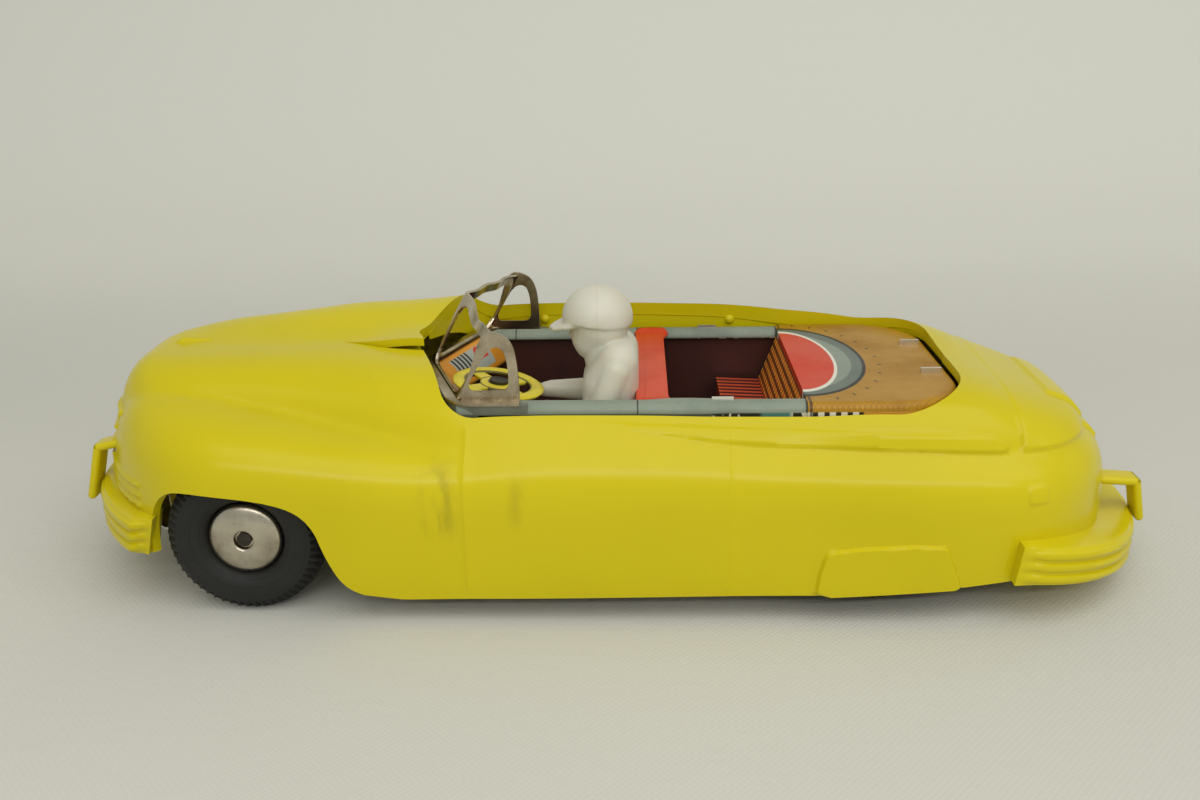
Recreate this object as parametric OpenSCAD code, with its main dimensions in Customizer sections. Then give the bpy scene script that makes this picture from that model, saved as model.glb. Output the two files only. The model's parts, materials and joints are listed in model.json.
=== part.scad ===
// Wind-up toy convertible: a moulded shell over a tin cabin, with a spring motor on the rear axle.
// Millimetres. +X is the front of the car, +Y its left side, +Z up. The tyres stand on z = 0.

/* [Running gear] */
// Distance between the front and rear axles
wheelbase = 130; // [126:1:136]
// Distance between the middle planes of the front tyres
track = 64; // [63:0.5:66]
// How much further in each rear tyre stands
rear_tuck = 3.5; // [3:0.25:4.5]
// Outside diameter of a tyre
tyre_d = 33; // [31:0.5:34]
// Width of a tyre
tyre_w = 8.6; // [8:0.2:9.4]
// Diameter of the hub under the tyre
hub_d = 15.4; // [13:0.2:17]
// Diameter of both wire axles
axle_d = 3; // [2.6:0.1:3.4]

/* [Body shell] */
// Wall of the moulding
wall = 1.8; // [1.5:0.1:2.2]
// Depth of the front tyres inside the wings
wing_gap = 1.95; // [1.4:0.05:2.4]
// Front axle to the nose
front_overhang = 37.5; // [36:0.5:41]
// Rear axle to the tail
rear_overhang = 53.5; // [52:0.5:58]
// Height of the bonnet
bonnet_z = 49.2; // [48.6:0.2:51]
// Height of the front wings behind the lamps
wing_z = 44.6; // [43:0.2:46]
// Height of the rear wings
rear_wing_z = 36.5; // [35:0.5:38]
// Height of the sills above the ground
sill_z = 5; // [4.4:0.1:5.4]
// How far the right-hand rim has bowed up along the cockpit
right_lift = 7.5; // [0:0.5:9]
// How far the bumpers stand out
bumper_out = 3.6; // [3:0.1:4.4]
// How much further the rear bumper stands out behind the tail
bumper_back = 3.6; // [2:0.2:5]
// Height of the front bumper
front_bumper_h = 9; // [7:0.5:10]
// Height of the rear bumper
rear_bumper_h = 9.2; // [7:0.2:10]

/* [Tin inside] */
// Thickness of the tin
tin = 0.5; // [0.4:0.05:0.6]
// Height of the top of the deck
deck_z = 43.5; // [43:0.25:44.5]
// Distance from the middle of the car to each side rail
rail_y = 27; // [26:0.25:27.5]
// Width of a side rail
rail_w = 4.5; // [4:0.25:5]
// Length of the front seat opening
front_opening = 33.8; // [32.4:0.2:35]
// Width of the red strip between the openings
seat_strip = 7.9; // [7:0.1:9]
// Length of the rear seat opening
rear_opening = 27.3; // [26:0.1:28]
// Corner radius of the rear deck
deck_corner = 15; // [12:0.5:18]
// Corner radius of the deck beside the windscreen
deck_shoulder = 7; // [6:0.5:9]
// Height of the windscreen at its middle
screen_h = 16; // [14:0.5:18]

/* [Steering] */
// Diameter of the steering wheel
steering_d = 19.6; // [18:0.2:20]
// Lean of the steering column
column_lean = 10; // [6:1:12]
// Diameter of the steering column
column_d = 2.2; // [1.8:0.1:2.6]

/* [Motor] */
// Module of all gears
gear_module = 0.7; // [0.66:0.01:0.72]
// Teeth on the barrel gear
barrel_teeth = 40; // [38:1:42]
// Teeth on the layshaft wheel
layshaft_teeth = 30; // [28:1:31]
// Teeth on both pinions
pinion_teeth = 12; // [12:1:13]
// Space between the motor plates
motor_w = 20.4; // [20:0.2:22]
// Thickness of a motor plate
plate_t = 0.8; // [0.6:0.1:1]
// Turns of the mainspring
spring_turns = 7; // [5:1:8]
// Thickness of the mainspring
spring_t = 0.5; // [0.4:0.05:0.55]
// Span of the key across its two wings
key_span = 26; // [22:1:28]

/* [Hidden] */
$fn = 64;
slack = 0.05;
front_x = wheelbase / 2;
rear_x = -wheelbase / 2;
axle_z = tyre_d / 2;
axle_r = axle_d / 2;
wheel_y = track / 2;
rear_wheel_y = wheel_y - rear_tuck;
half_w = wheel_y + tyre_w / 2 + wing_gap + wall;
nose_x = front_x + front_overhang;
tail_x = rear_x - rear_overhang;
core_z = axle_z - 0.5;
core_drop = core_z + 6;

// Chassis levels: the plate is low along the cabin and kicks up under the front axle
plate_top = 6.1;
front_top = plate_top + 5.5;
plate_mid = plate_top - tin / 2;
front_mid = front_top - tin / 2;
kick_x = front_x - 25;

// Plan of the deck
apex_x = 31.5;
shoulder_x = 21.5;
vee_front = apex_x - 4.5;
vee_side = shoulder_x - 3;
strip_front = vee_side - front_opening;
strip_rear = strip_front - seat_strip;
deck_front = strip_rear - rear_opening;
deck_rear = deck_front - 32;
deck_half = rail_y + rail_w / 2;
deck_under = deck_z - tin;
opening_y = deck_half - tin;
opening_gap = 1.3;
flange_h = 3;
rail_wall = rail_y - tin / 2;

// Gear train in the XZ plane: axle, layshaft and barrel
pinion_r = gear_module * pinion_teeth / 2;
layshaft_r = gear_module * layshaft_teeth / 2;
barrel_r = gear_module * barrel_teeth / 2;
layshaft_dir = 112;
barrel_dir = 205;
axle_at = [rear_x, axle_z];
layshaft_at = axle_at + (layshaft_r + pinion_r) * [cos(layshaft_dir), sin(layshaft_dir)];
barrel_at = layshaft_at + (barrel_r + pinion_r) * [cos(barrel_dir), sin(barrel_dir)];
motor_y = motor_w / 2;
arbor_r = 1.5;
pivot_r = 1;
drum_r = barrel_r - 1;
drum_wall = 0.8;
gear_t = 1.4;
barrel_y = -motor_y + 1.6;
drum_y = barrel_y + gear_t;
drum_w = 9;
cover_t = 0.6;
layshaft_y = 5;
ratchet_r = 6;
ratchet_root = 4.6;
ratchet_teeth = 12;
ratchet_y = -motor_y - plate_t - 1.8;
ratchet_t = 1.1;
click_at = barrel_at + [6.5, -9.5];
key_r = 2.3;
key_y = -half_w - 2;
key_lobe = key_span / 4;
tab_x = deck_rear + 3.4;
tab_l = 4.4;
wall_tab_x = strip_rear - 10.2;

// Rows of the two forms that make the shell: [x, half width, top, squareness]
lower_rows = [
    [tail_x, half_w - 4, rear_wing_z - 3, 3.4],
    [tail_x + 24, half_w - 1.5, rear_wing_z - 0.8, 4.2],
    [rear_x, half_w, rear_wing_z + 0.3, 4.7],
    [rear_x + 30, half_w - 0.2, rear_wing_z + 1.5, 4.7],
    [0, half_w - 0.3, rear_wing_z + 1.8, 4.7],
    [front_x - 35, half_w - 0.2, wing_z - 7.6, 5.2],
    [front_x, half_w, wing_z - 3, 5],
    [front_x + 18, half_w - 1, wing_z - 0.4, 4],
    [nose_x, half_w - 5, wing_z - 2, 3]];
// The bonnet and boot form has one column more, how sharply it meets the wings
upper_rows = [
    [tail_x + 3.5, half_w - 8, rear_wing_z - 1.5, 3, 60],
    [tail_x + 21, half_w - 7, rear_wing_z + 4.7, 3.8, 70],
    [deck_rear - 3, half_w - 6, deck_z + 1.3, 4.5, 70],
    [rear_x - 3, half_w - 5.6, deck_z + 2.2, 5, 70],
    [rear_x + 15, half_w - 5.2, deck_z + 2.2, 4.6, 60],
    [rear_x + 32, half_w - 3.8, deck_z + 2.7, 3.9, 30],
    [rear_x + 50, half_w - 3.2, deck_z + 3.8, 3.5, 20],
    [front_x - 55, half_w - 3.5, deck_z + 4.5, 3.4, 20],
    [front_x - 44, half_w - 4.8, bonnet_z - 0.2, 3.3, 30],
    [front_x - 34, half_w - 7.6, bonnet_z, 3.3, 50],
    [front_x - 22, half_w - 10.8, bonnet_z, 3.4, 70],
    [front_x - 8, half_w - 13.6, bonnet_z, 3.6, 80],
    [front_x + 8, half_w - 15.2, bonnet_z - 0.2, 3.9, 80],
    [front_x + 22, half_w - 15.6, bonnet_z - 0.6, 4, 60],
    [nose_x, half_w - 18.5, bonnet_z - 1.4, 3, 50]];
// Lengths and squareness of the end roundings: [front plan, front profile, rear plan, rear profile]
lower_ends = [[36, 2], [17, 2.4], [30, 2.2], [14, 2.6]];
upper_ends = [[28, 2], [14, 2.4], [18, 2.2], [9, 2.2]];
tip = 0.9985;
// Facets of the shell and of its hollow, along and round the car
shell_along = 46;
shell_around = 32;
inner_along = 24;
inner_around = 26;

function clamp(v) = max(0, min(1, v));
function unit(v) = v / norm(v);
function segment(t, x, i = 0) = (i >= len(t) - 2 || x < t[i + 1][0]) ? i : segment(t, x, i + 1);
function slope(t, c, i) =
    let (a = max(i - 1, 0), b = min(i + 1, len(t) - 1)) (t[b][c] - t[a][c]) / (t[b][0] - t[a][0]);
// Smooth curve through column c of the rows t
function curve(t, c, x) =
    let (
        i = segment(t, x),
        w = t[i + 1][0] - t[i][0],
        s = clamp((x - t[i][0]) / w),
        a = t[i][c],
        b = t[i + 1][c],
        p = slope(t, c, i) * w,
        q = slope(t, c, i + 1) * w
    )
    a + s * (p + s * (3 * (b - a) - 2 * p - q + s * (2 * (a - b) + p + q)));
function rounding(x, front, rear, ends, k) =
    let (
        f = min(tip, clamp((x - front) / ends[k][0] + 1)),
        r = min(tip, clamp((rear - x) / ends[k + 2][0] + 1))
    )
    pow(1 - pow(f, ends[k][1]), 1 / ends[k][1]) * pow(1 - pow(r, ends[k + 2][1]), 1 / ends[k + 2][1]);
function superellipse(w, h, n, a) = pow(pow(abs(cos(a)) / w, n) + pow(abs(sin(a)) / h, n), -1 / n);
function form_radius(rows, ends, x, a, grow) =
    let (
        rear = rows[0][0] - grow,
        front = nose_x + grow,
        w = (curve(rows, 1, x) + grow) * rounding(x, front, rear, ends, 0),
        top = curve(rows, 2, x) + grow - core_z,
        h = (sin(a) > 0 ? top : core_drop) * rounding(x, front, rear, ends, 1)
    )
    superellipse(w, h, curve(rows, 3, x), a);
// Distance from the core line to the shell at station x and angle a, both forms blended
function shell_radius(x, a, grow) =
    let (
        l = form_radius(lower_rows, lower_ends, x, a, grow),
        u = x < upper_rows[0][0] - grow ? 0 : form_radius(upper_rows, upper_ends, x, a, grow),
        m = max(l, u),
        blend = curve(upper_rows, 4, x)
    )
    m * pow(pow(l / m, blend) + pow(u / m, blend), 1 / blend);
// Stations close up towards both ends
station_ease = 0.1418;
function stations(grow, n) =
    [for (i = [0 : n])
        let (s = i / n, e = s - station_ease * sin(360 * s)) tail_x - grow + (nose_x - tail_x + 2 * grow) * e];
// Angles round a section: close together above the sills, wide apart below
function angles(n) = concat([for (i = [0 : n]) -15.3 + 210.6 * i / n], [225, 270, 315]);

module ring_loft(rings) {
    n = len(rings[0]);
    m = len(rings);
    sides = [for (i = [0 : m - 2], j = [0 : n - 1])
        let (a = i * n + j, b = i * n + (j + 1) % n) each [[a, a + n, b], [b, a + n, b + n]]];
    ends = [[for (j = [0 : n - 1]) j], [for (j = [n - 1 : -1 : 0]) (m - 1) * n + j]];
    polyhedron([for (r = rings, p = r) p], concat(sides, ends), 12);
}
function ease(v, a, b) = let (s = clamp((v - a) / (b - a))) s * s * (3 - 2 * s);
function bow(x, y, z) =
    right_lift * ease(x, rear_x - 40, rear_x + 35) * (1 - ease(x, front_x - 40, front_x + 30))
    * ease(-y, -4, rail_y) * ease(z, 12, deck_z - 3.5);
// The outer form of the body, grown or shrunk by a wall
module body_form(grow, along, around) {
    ring_loft([for (x = stations(grow, along))
        [for (a = angles(around))
            let (r = shell_radius(x, a, grow), y = r * cos(a), z = core_z + r * sin(a))
                [x, y, z + bow(x, y, z)]]]);
}

// Upright or lying prisms from an outline
module along_y(y, w) {
    translate([0, y + w, 0])
        rotate([90, 0, 0])
            linear_extrude(w)
                children();
}
module along_x(x, l) {
    translate([x, 0, 0])
        rotate([90, 0, 90])
            linear_extrude(l)
                children();
}
module both_sides() {
    children();
    mirror([0, 1, 0])
        children();
}
module turn_at(p) {
    translate([p[0], 0, p[1]])
        children();
}
module shaft(r, y, w) {
    translate([0, y + w, 0])
        rotate([90, 0, 0])
            cylinder(r = r, h = w);
}
module rod(a, ra, b, rb, facets = 10) {
    hull() {
        translate(a)
            sphere(r = ra, $fn = facets);
        translate(b)
            sphere(r = rb, $fn = facets);
    }
}

// A bent strip: its middle line thickened on both sides
function left_of(p, i) = let (d = unit(p[i + 1] - p[i])) [-d[1], d[0]];
function mitre(p, i) =
    i == 0 ? left_of(p, 0)
    : i == len(p) - 1 ? left_of(p, len(p) - 2)
    : let (a = left_of(p, i - 1), b = left_of(p, i)) (a + b) / (1 + a * b);
function ribbon(p, t) = concat(
    [for (i = [0 : len(p) - 1]) p[i] + mitre(p, i) * t / 2],
    [for (i = [len(p) - 1 : -1 : 0]) p[i] - mitre(p, i) * t / 2]);

// Plan of the tin deck, grown by g: a V with round shoulders at the windscreen and round corners at the rear
vee_out = unit([deck_half, apex_x - shoulder_x]);
shoulder_y = deck_half - deck_shoulder;
shoulder_at = [apex_x - (shoulder_y * vee_out[1] + deck_shoulder) / vee_out[0], shoulder_y];
corner_at = [deck_rear + deck_corner, deck_half - deck_corner];
vee_angle = atan2(vee_out[1], vee_out[0]);
function arc(c, r, from, to, n) =
    [for (i = [0 : n]) let (a = from + (to - from) * i / n) c + r * [cos(a), sin(a)]];
function deck_side(g) =
    concat(arc(shoulder_at, deck_shoulder + g, vee_angle, 90, 8), arc(corner_at, deck_corner + g, 90, 180, 12));
module deck_plan(g) {
    side = deck_side(g);
    polygon(concat([[apex_x + g / vee_out[0], 0]], side,
        [for (i = [len(side) - 1 : -1 : 0]) [side[i][0], -side[i][1]]]));
}

// Body shell
front_bumper_z = front_top + 0.8;
rear_bumper_z = plate_top - 0.4;
// Cuts the corners of a closed outline
function rounded(p) =
    [for (i = [0 : len(p) - 1])
        let (q = p[(i + 1) % len(p)]) each [0.75 * p[i] + 0.25 * q, 0.25 * p[i] + 0.75 * q]];
spat = rounded([[rear_x + 10.6, 16.6], [rear_x - 11.9, 17.5], [rear_x - 13.6, 14.6], [rear_x - 17, 5],
    [rear_x + 13.8, 4], [rear_x + 12.4, 14]]);
// Belt moulding along the foot of the boot, and the front wheel arch
belt = [[-34, 40], [-46, 39.2], [-74, 38], [-87, 37.2], [-90, 36], [-90.6, 34.8], [-89.4, 33.6], [-74, 34.4],
    [-46, 35.6], [-34, 36.6]];
arch = rounded(rounded([[22, -20], [20.6, 10], [19.6, 21], [15.5, 27.6], [8, 28.6], [-9, 26.6], [-15.5, 22.6],
    [-18, 14], [-21.5, 7.4], [-28, 5.2], [-34, -20]]));
// Side view of what is kept above the lower edge of the shell
lower_edge = [[tail_x - 10, 100], [tail_x - 10, rear_bumper_z], [rear_x - 27, rear_bumper_z],
    [rear_x - 20, plate_top + 0.3], [rear_x + 13, sill_z], [front_x - 33, sill_z],
    [front_x + 19, front_bumper_z], [nose_x + 10, front_bumper_z], [nose_x + 10, 100]];
post_front = [front_x + 21, 13];
post_rear = [tail_x + 10.5, 13];
post_r = 3;
guard_z = front_bumper_z + 4.4;
guard_x = tail_x - bumper_out - bumper_back + 1.2;

module bumper_band(x0, x1, z, h, out, shift) {
    intersection() {
        translate([shift, 0, 0])
            body_form(out, 32, 12);
        translate([x0, -60, z])
            cube([x1 - x0, 120, h]);
    }
}
module bumper(x0, x1, z, h, shift) {
    bumper_band(x0, x1, z - 1, h + 1, bumper_out - 0.6, shift);
    for (k = [0 : 2])
        bumper_band(x0 + 0.4, x1 - 0.4, z + h * (0.12 + 0.3 * k), h * 0.16, bumper_out, shift);
}
module raised(out) {
    intersection() {
        body_form(out, shell_along, shell_around);
        children();
    }
}
module shell_trim() {
    // Spats, belt mouldings, door lines and the flap on the left flank
    raised(0.9)
        both_sides()
            along_y(20, 40)
                polygon(spat);
    raised(0.6)
        both_sides()
            along_y(20, 40)
                polygon(belt);
    raised(0.3)
        both_sides()
            for (x = [18.4, -34.3])
                translate([x - 0.25, 20, 7])
                    cube([0.5, 40, 34]);
    raised(0.35)
        translate([rear_x - 32.5, 20, 24.7])
            cube([4.5, 40, 3.9]);
    // Bars of the grille and the ribs under the lamps
    raised(0.8)
        for (z = [23 : 3.2 : 36])
            translate([front_x + 22, -14, z])
                cube([40, 28, 1.5]);
    raised(0.5)
        both_sides()
            for (z = [23 : 2.2 : 28])
                translate([front_x + 20, 17, z])
                    cube([40, 30, 1]);
    raised(0.6)
        translate([rear_x - 70, -13, 29])
            cube([32, 26, 30]);
}
module shell_fittings() {
    // Bonnet ornament
    rod([front_x + 25, 0, bonnet_z - 0.6], 1.5, [front_x + 17, 0, bonnet_z + 0.4], 1.6);
    rod([front_x + 17, 0, bonnet_z + 0.4], 1.6, [front_x + 6, 0, bonnet_z - 0.6], 0.6);
    // Head lamps
    both_sides()
        rod([front_x + 18.7, 25.2, 36.7], 5.8, [front_x + 20.6, 24.6, 36.1], 5.1);
    // Plates on the bumpers and their stays
    for (s = [-1, 1]) {
        rod([nose_x - 4, s * 7, guard_z + 10], 0.9, [nose_x + 0.8, s * 7, guard_z + 10.6], 0.9);
        rod([guard_x, s * 8, rear_bumper_z + 14], 0.9, [tail_x + 3, s * 8, rear_bumper_z + 14], 0.9);
    }
    hull()
        for (s = [-1, 1], k = [0, 1])
            translate([nose_x + 0.8 + 3.8 * k, s * 10, guard_z + 11 * (1 - k)])
                sphere(r = 0.9, $fn = 8);
    hull()
        for (s = [-1, 1], k = [0, 1])
            translate([guard_x - 1.6 * k, s * 9, rear_bumper_z + 14 - 9.4 * k])
                sphere(r = 0.9, $fn = 8);
    // Plate lamp on the tail
    rod([tail_x + 2, -3, rear_bumper_z + 20], 1.6, [tail_x + 2, 3, rear_bumper_z + 20], 1.6);
}
module shell_posts() {
    intersection() {
        body_form(-wall / 2, inner_along, inner_around);
        both_sides() {
            translate([post_front[0], post_front[1], front_top])
                cylinder(r = post_r, h = 60, $fn = 20);
            translate([post_rear[0], post_rear[1], plate_top])
                cylinder(r = post_r, h = 60, $fn = 20);
        }
    }
}
module body_shell() {
    color("gold")
        union() {
            difference() {
                intersection() {
                    union() {
                        body_form(0, shell_along, shell_around);
                        shell_trim();
                        bumper(front_x + 19, nose_x + 20, front_bumper_z, front_bumper_h, 0);
                        bumper(tail_x - 20, rear_x - 27, rear_bumper_z, rear_bumper_h, -bumper_back);
                        shell_fittings();
                    }
                    along_y(-60, 120)
                        polygon(lower_edge);
                }
                body_form(-wall, inner_along, inner_around);
                // Cockpit, front wheel arches and the hole for the key
                translate([0, 0, deck_z - 12])
                    linear_extrude(60)
                        deck_plan(opening_gap);
                translate([front_x, 0, 0])
                    both_sides()
                        along_y(22, 40)
                            polygon(arch);
                turn_at(barrel_at)
                    shaft(key_r + 0.8, -60, 40, $fn = 32);
            }
            difference() {
                shell_posts();
                both_sides()
                    for (p = [[post_front, front_top], [post_rear, plate_top]])
                        translate([p[0][0], p[0][1], p[1] - 1])
                            cylinder(r = 1.3, h = 9, $fn = 16);
            }
        }
}

// Chassis plate: one bent tin sheet with wheel cut-outs and turned-up sides
plate_half = half_w - wall - 1.4;
well_y = rear_wheel_y - tyre_w / 2 - 1.4;
plate_plan = [[tail_x + 5, 15], [tail_x + 10, 23], [tail_x + 22, 29], [rear_x - 20, 30.5],
    [rear_x - 20, well_y],
    [rear_x + 20, well_y], [rear_x + 20, plate_half], [kick_x - 2, plate_half], [kick_x - 2, 19],
    [nose_x - 14, 19], [nose_x - 7, 13]];
module chassis_plate() {
    color("silver")
        difference() {
            union() {
                intersection() {
                    along_y(-60, 120)
                        polygon(ribbon([[tail_x, plate_mid], [kick_x, plate_mid], [kick_x + 7, front_mid],
                            [nose_x, front_mid]], tin));
                    linear_extrude(60)
                        polygon(concat(plate_plan, [for (i = [len(plate_plan) - 1 : -1 : 0])
                            [plate_plan[i][0], -plate_plan[i][1]]]));
                }
                both_sides()
                    translate([rear_x + 22, plate_half - tin, plate_top - tin])
                        cube([kick_x - rear_x - 26, tin, 4]);
            }
            both_sides()
                for (p = [post_front, post_rear])
                    translate([p[0], p[1], -1])
                        cylinder(r = 1.4, h = 40);
            translate([front_x, 0, -1])
                cylinder(r = kingpin_r + slack, h = 40);
        }
}
module chassis_screws() {
    color("silver")
        both_sides()
            for (p = [[post_front, front_top], [post_rear, plate_top]])
                translate([p[0][0], p[0][1], p[1] - tin]) {
                    cylinder(r = 1.15, h = 7);
                    translate([0, 0, -1.2])
                        difference() {
                            cylinder(r = 2.4, h = 1.2);
                            translate([-5, -0.3, -1])
                                cube([10, 0.6, 1.5]);
                        }
                }
}

// Tin deck with its rails, turned-down edge and two openings
module interior_deck() {
    color("peru")
        difference() {
            union() {
                difference() {
                    union() {
                        translate([0, 0, deck_under])
                            linear_extrude(tin)
                                deck_plan(0);
                        translate([0, 0, deck_z - flange_h])
                            linear_extrude(flange_h)
                                difference() {
                                    deck_plan(0);
                                    deck_plan(-tin);
                                }
                    }
                    translate([0, 0, deck_z - 20])
                        linear_extrude(40)
                            polygon([[strip_front, -opening_y], [vee_side, -opening_y], [vee_front, 0],
                                [vee_side, opening_y], [strip_front, opening_y]]);
                    translate([deck_front, -opening_y, deck_z - 20])
                        cube([rear_opening, 2 * opening_y, 40]);
                }
                both_sides()
                    translate([0, rail_y, deck_z - rail_w / 2])
                        along_x(deck_front - 0.4, vee_side - deck_front + 0.8)
                            difference() {
                                circle(r = rail_w / 2);
                                circle(r = rail_w / 2 - tin);
                                translate([-rail_w, -2 * rail_w])
                                    square(2 * rail_w);
                            }
            }
            both_sides() {
                translate([wall_tab_x - tab_l / 2 - 0.1, rail_wall - 0.1, deck_z - 8])
                    cube([tab_l + 0.2, tin + 0.2, 20]);
                translate([tab_x - tab_l / 2 - 0.1, motor_y - 0.1, deck_z - 8])
                    cube([tab_l + 0.2, plate_t + 0.2, 20]);
            }
        }
}

// Cabin walls stand on the chassis plate, with a tab through the rail
wall_top = deck_z - rail_w / 2 + sqrt(pow(rail_w / 2 - tin, 2) - pow(tin / 2, 2)) - 0.02;
firewall_back = 36;
firewall_h = 25;
firewall_x = front_x - firewall_back;
wall_rear = rear_x + 20.5;
cushion_z = 24;
rear_cushion_z = 31;
rear_cushion = 14.5;
module cabin_wall() {
    color("sienna")
        along_y(rail_wall, tin) {
            polygon([[firewall_x, plate_top], [firewall_x, deck_under - 9], [shoulder_x - 4, wall_top],
                [deck_front - 0.4, wall_top], [deck_front - 0.4, rear_cushion_z - 1],
                [wall_rear, cushion_z], [wall_rear, plate_top]]);
            translate([wall_tab_x - tab_l / 2, wall_top - 1])
                square([tab_l, deck_z + 1.6 - wall_top]);
        }
}
module cabin_wall_left() {
    cabin_wall();
}
module cabin_wall_right() {
    mirror([0, 1, 0])
        cabin_wall();
}
cabin_half = rail_wall - 0.02;
seat_half = rail_y - rail_w / 2 - 0.15;
module bent_across(path) {
    along_y(-seat_half, 2 * seat_half)
        polygon(ribbon(path, tin));
}
// Dashboard: two panels in a V, hung under the front of the deck
vee_turn = atan2(vee_front - vee_side, opening_y);
dash_low = 35.8;
dash_profile = [[3.4, dash_low], [0.9, dash_low], [4.4, deck_under - 0.02]];
module dashboard() {
    color("goldenrod")
        intersection() {
            both_sides()
                intersection() {
                    translate([vee_front - 1, 0, 0])
                        rotate([0, 0, vee_turn])
                            along_y(-10, 60)
                                polygon(ribbon(dash_profile, tin));
                    translate([-50, 0, 0])
                        cube([200, seat_half, 60]);
                }
            linear_extrude(60)
                deck_plan(-tin - 0.1);
        }
}
module firewall() {
    color("sienna")
        translate([firewall_x - tin - 0.02, -cabin_half, plate_top])
            cube([tin, 2 * cabin_half, firewall_h]);
}
module front_seat() {
    color("firebrick")
        bent_across([[3, plate_top], [3, cushion_z], [strip_front + 1.8, cushion_z - 1],
            [strip_front - 0.9, deck_under - tin / 2 - 0.02], [strip_rear + 0.9, deck_under - tin / 2 - 0.02],
            [strip_rear - 0.4, plate_top]]);
}
module rear_seat() {
    color("firebrick")
        bent_across([[deck_front + rear_cushion, plate_top], [deck_front + rear_cushion, rear_cushion_z],
            [deck_front + 4.3, rear_cushion_z - 0.5],
            [deck_front - 0.5, deck_under - 0.02]]);
}

// Windscreen: two panes in a V and two quarter lights, one stamping
screen_t = 0.7;
bar = 1.7;
thin_bar = 1.1;
rail_bar = 2.2;
foot_bar = 2.6;
window_r = 1.2;
screen_foot = [apex_x - 1.4, 0, deck_z];
screen_corner = [shoulder_x - 1, rail_y, deck_z];
screen_peak = screen_foot + [-9, 0, screen_h];
quarter_rear = [shoulder_x - 14, rail_y, deck_z];
quarter_peak_h = screen_h - 2.6;
// Frame of a flat pane through a, b along its foot and c in its plane
function plane_matrix(a, b, c) =
    let (
        e = unit(b - a),
        n = unit(cross(e, c - a)),
        u = cross(n, e)
    )
    [[e[0], u[0], n[0], a[0]], [e[1], u[1], n[1], a[1]], [e[2], u[2], n[2], a[2]], [0, 0, 0, 1]];
function in_plane(a, b, c) =
    let (e = unit(b - a), d = c - a) [d * e, norm(d - (d * e) * e)];
module soft_corners(r) {
    offset(r = r, $fn = 32)
        offset(delta = -r)
            children();
}
module pane(outline, window) {
    translate([0, 0, -screen_t / 2])
        linear_extrude(screen_t)
            difference() {
                polygon(outline);
                soft_corners(window_r)
                    polygon(window);
            }
}
pane_l = norm(screen_corner - screen_foot);
peak_in = in_plane(screen_foot, screen_corner, screen_peak);
quarter_in = [pane_l + 2.2, peak_in[1] - 2.4];
pillar_top = screen_foot + quarter_in[0] * unit(screen_corner - screen_foot)
    + quarter_in[1] * unit(screen_peak - screen_foot - peak_in[0] * unit(screen_corner - screen_foot));
top_in = in_plane(screen_corner, quarter_rear, pillar_top);
quarter_l = norm(quarter_rear - screen_corner);
pane_window = [[thin_bar, thin_bar], [pane_l - bar, thin_bar], quarter_in + [-1.5 * bar, -rail_bar],
    peak_in + [thin_bar, -rail_bar]];
quarter_outline = [[0, 0], [quarter_l, 0], [quarter_l - 1, 7.6], [quarter_l - 3.6, 12.4], top_in + [-0.4, 0.2]];
quarter_window = [[1.9 * bar, foot_bar], [quarter_l - 2, foot_bar], [quarter_l - 2.7, 6.8],
    [quarter_l - 4.4, 9.8], [quarter_l - 5.6, 9.6]];
module half_screen() {
    multmatrix(plane_matrix(screen_foot, screen_corner, screen_peak))
        pane([[0, 0], [pane_l, 0], quarter_in, peak_in], pane_window);
    multmatrix(plane_matrix(screen_corner, quarter_rear, pillar_top))
        pane(quarter_outline, quarter_window);
}
module windscreen() {
    color("gainsboro")
        intersection() {
            both_sides()
                half_screen();
            translate([-50, -60, deck_z + 0.01])
                cube([120, 120, 60]);
        }
}

// Driver: a moulded figure on the front seat
driver_x = strip_front + 7.6;
driver_y = 13.2;
module figure_part(a, ra, b, rb) {
    rod(a, ra, b, rb, 12);
}
module driver() {
    color("ivory")
        translate([driver_x, driver_y, cushion_z]) {
            // Trunk and shoulders
            hull()
                for (s = [-1, 1]) {
                    translate([-0.8, s * 3.2, 5.9])
                        sphere(r = 5.2, $fn = 14);
                    translate([-1.6, s * 4.4, 16.9])
                        sphere(r = 5.6, $fn = 14);
                    translate([-2.4, s * 7, 20.2])
                        sphere(r = 3.4, $fn = 14);
                }
            figure_part([-2.2, 0, 21.5], 4.4, [-1.4, 0, 28], 4.6);
            // Head with chin, nose and cap
            figure_part([-0.6, 0, 32], 6.3, [2.6, 0, 28.4], 3.7);
            figure_part([5.6, 0, 31.4], 0.8, [6.3, 0, 30], 1);
            intersection() {
                scale([1.08, 1, 1])
                    translate([-0.8, 0, 33.3])
                        sphere(r = 7.2, $fn = 20);
                translate([-20, -20, 33])
                    cube([40, 40, 20]);
            }
            hull() {
                translate([3, 0, 33.6])
                    cylinder(r = 5.4, h = 0.9, $fn = 20);
                translate([7, 0, 32.7])
                    cylinder(r = 3.6, h = 0.8, $fn = 20);
            }
            // Arms, thighs and shins
            for (s = [-1, 1]) {
                figure_part([-0.8, s * 8.2, 20], 2.8, [2.6, s * 9.2, 13], 2.6);
                figure_part([2.6, s * 9.2, 13], 2.6, [10, s * 6.5, 15], 2.2);
                figure_part([0, s * 4.2, 4.8], 4.2, [15.6, s * 4.6, 4.6], 3.7);
                figure_part([15.6, s * 4.6, 4.6], 3.7, [17, s * 4.6, plate_top - cushion_z + 3], 2.6);
            }
        }
}

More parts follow.
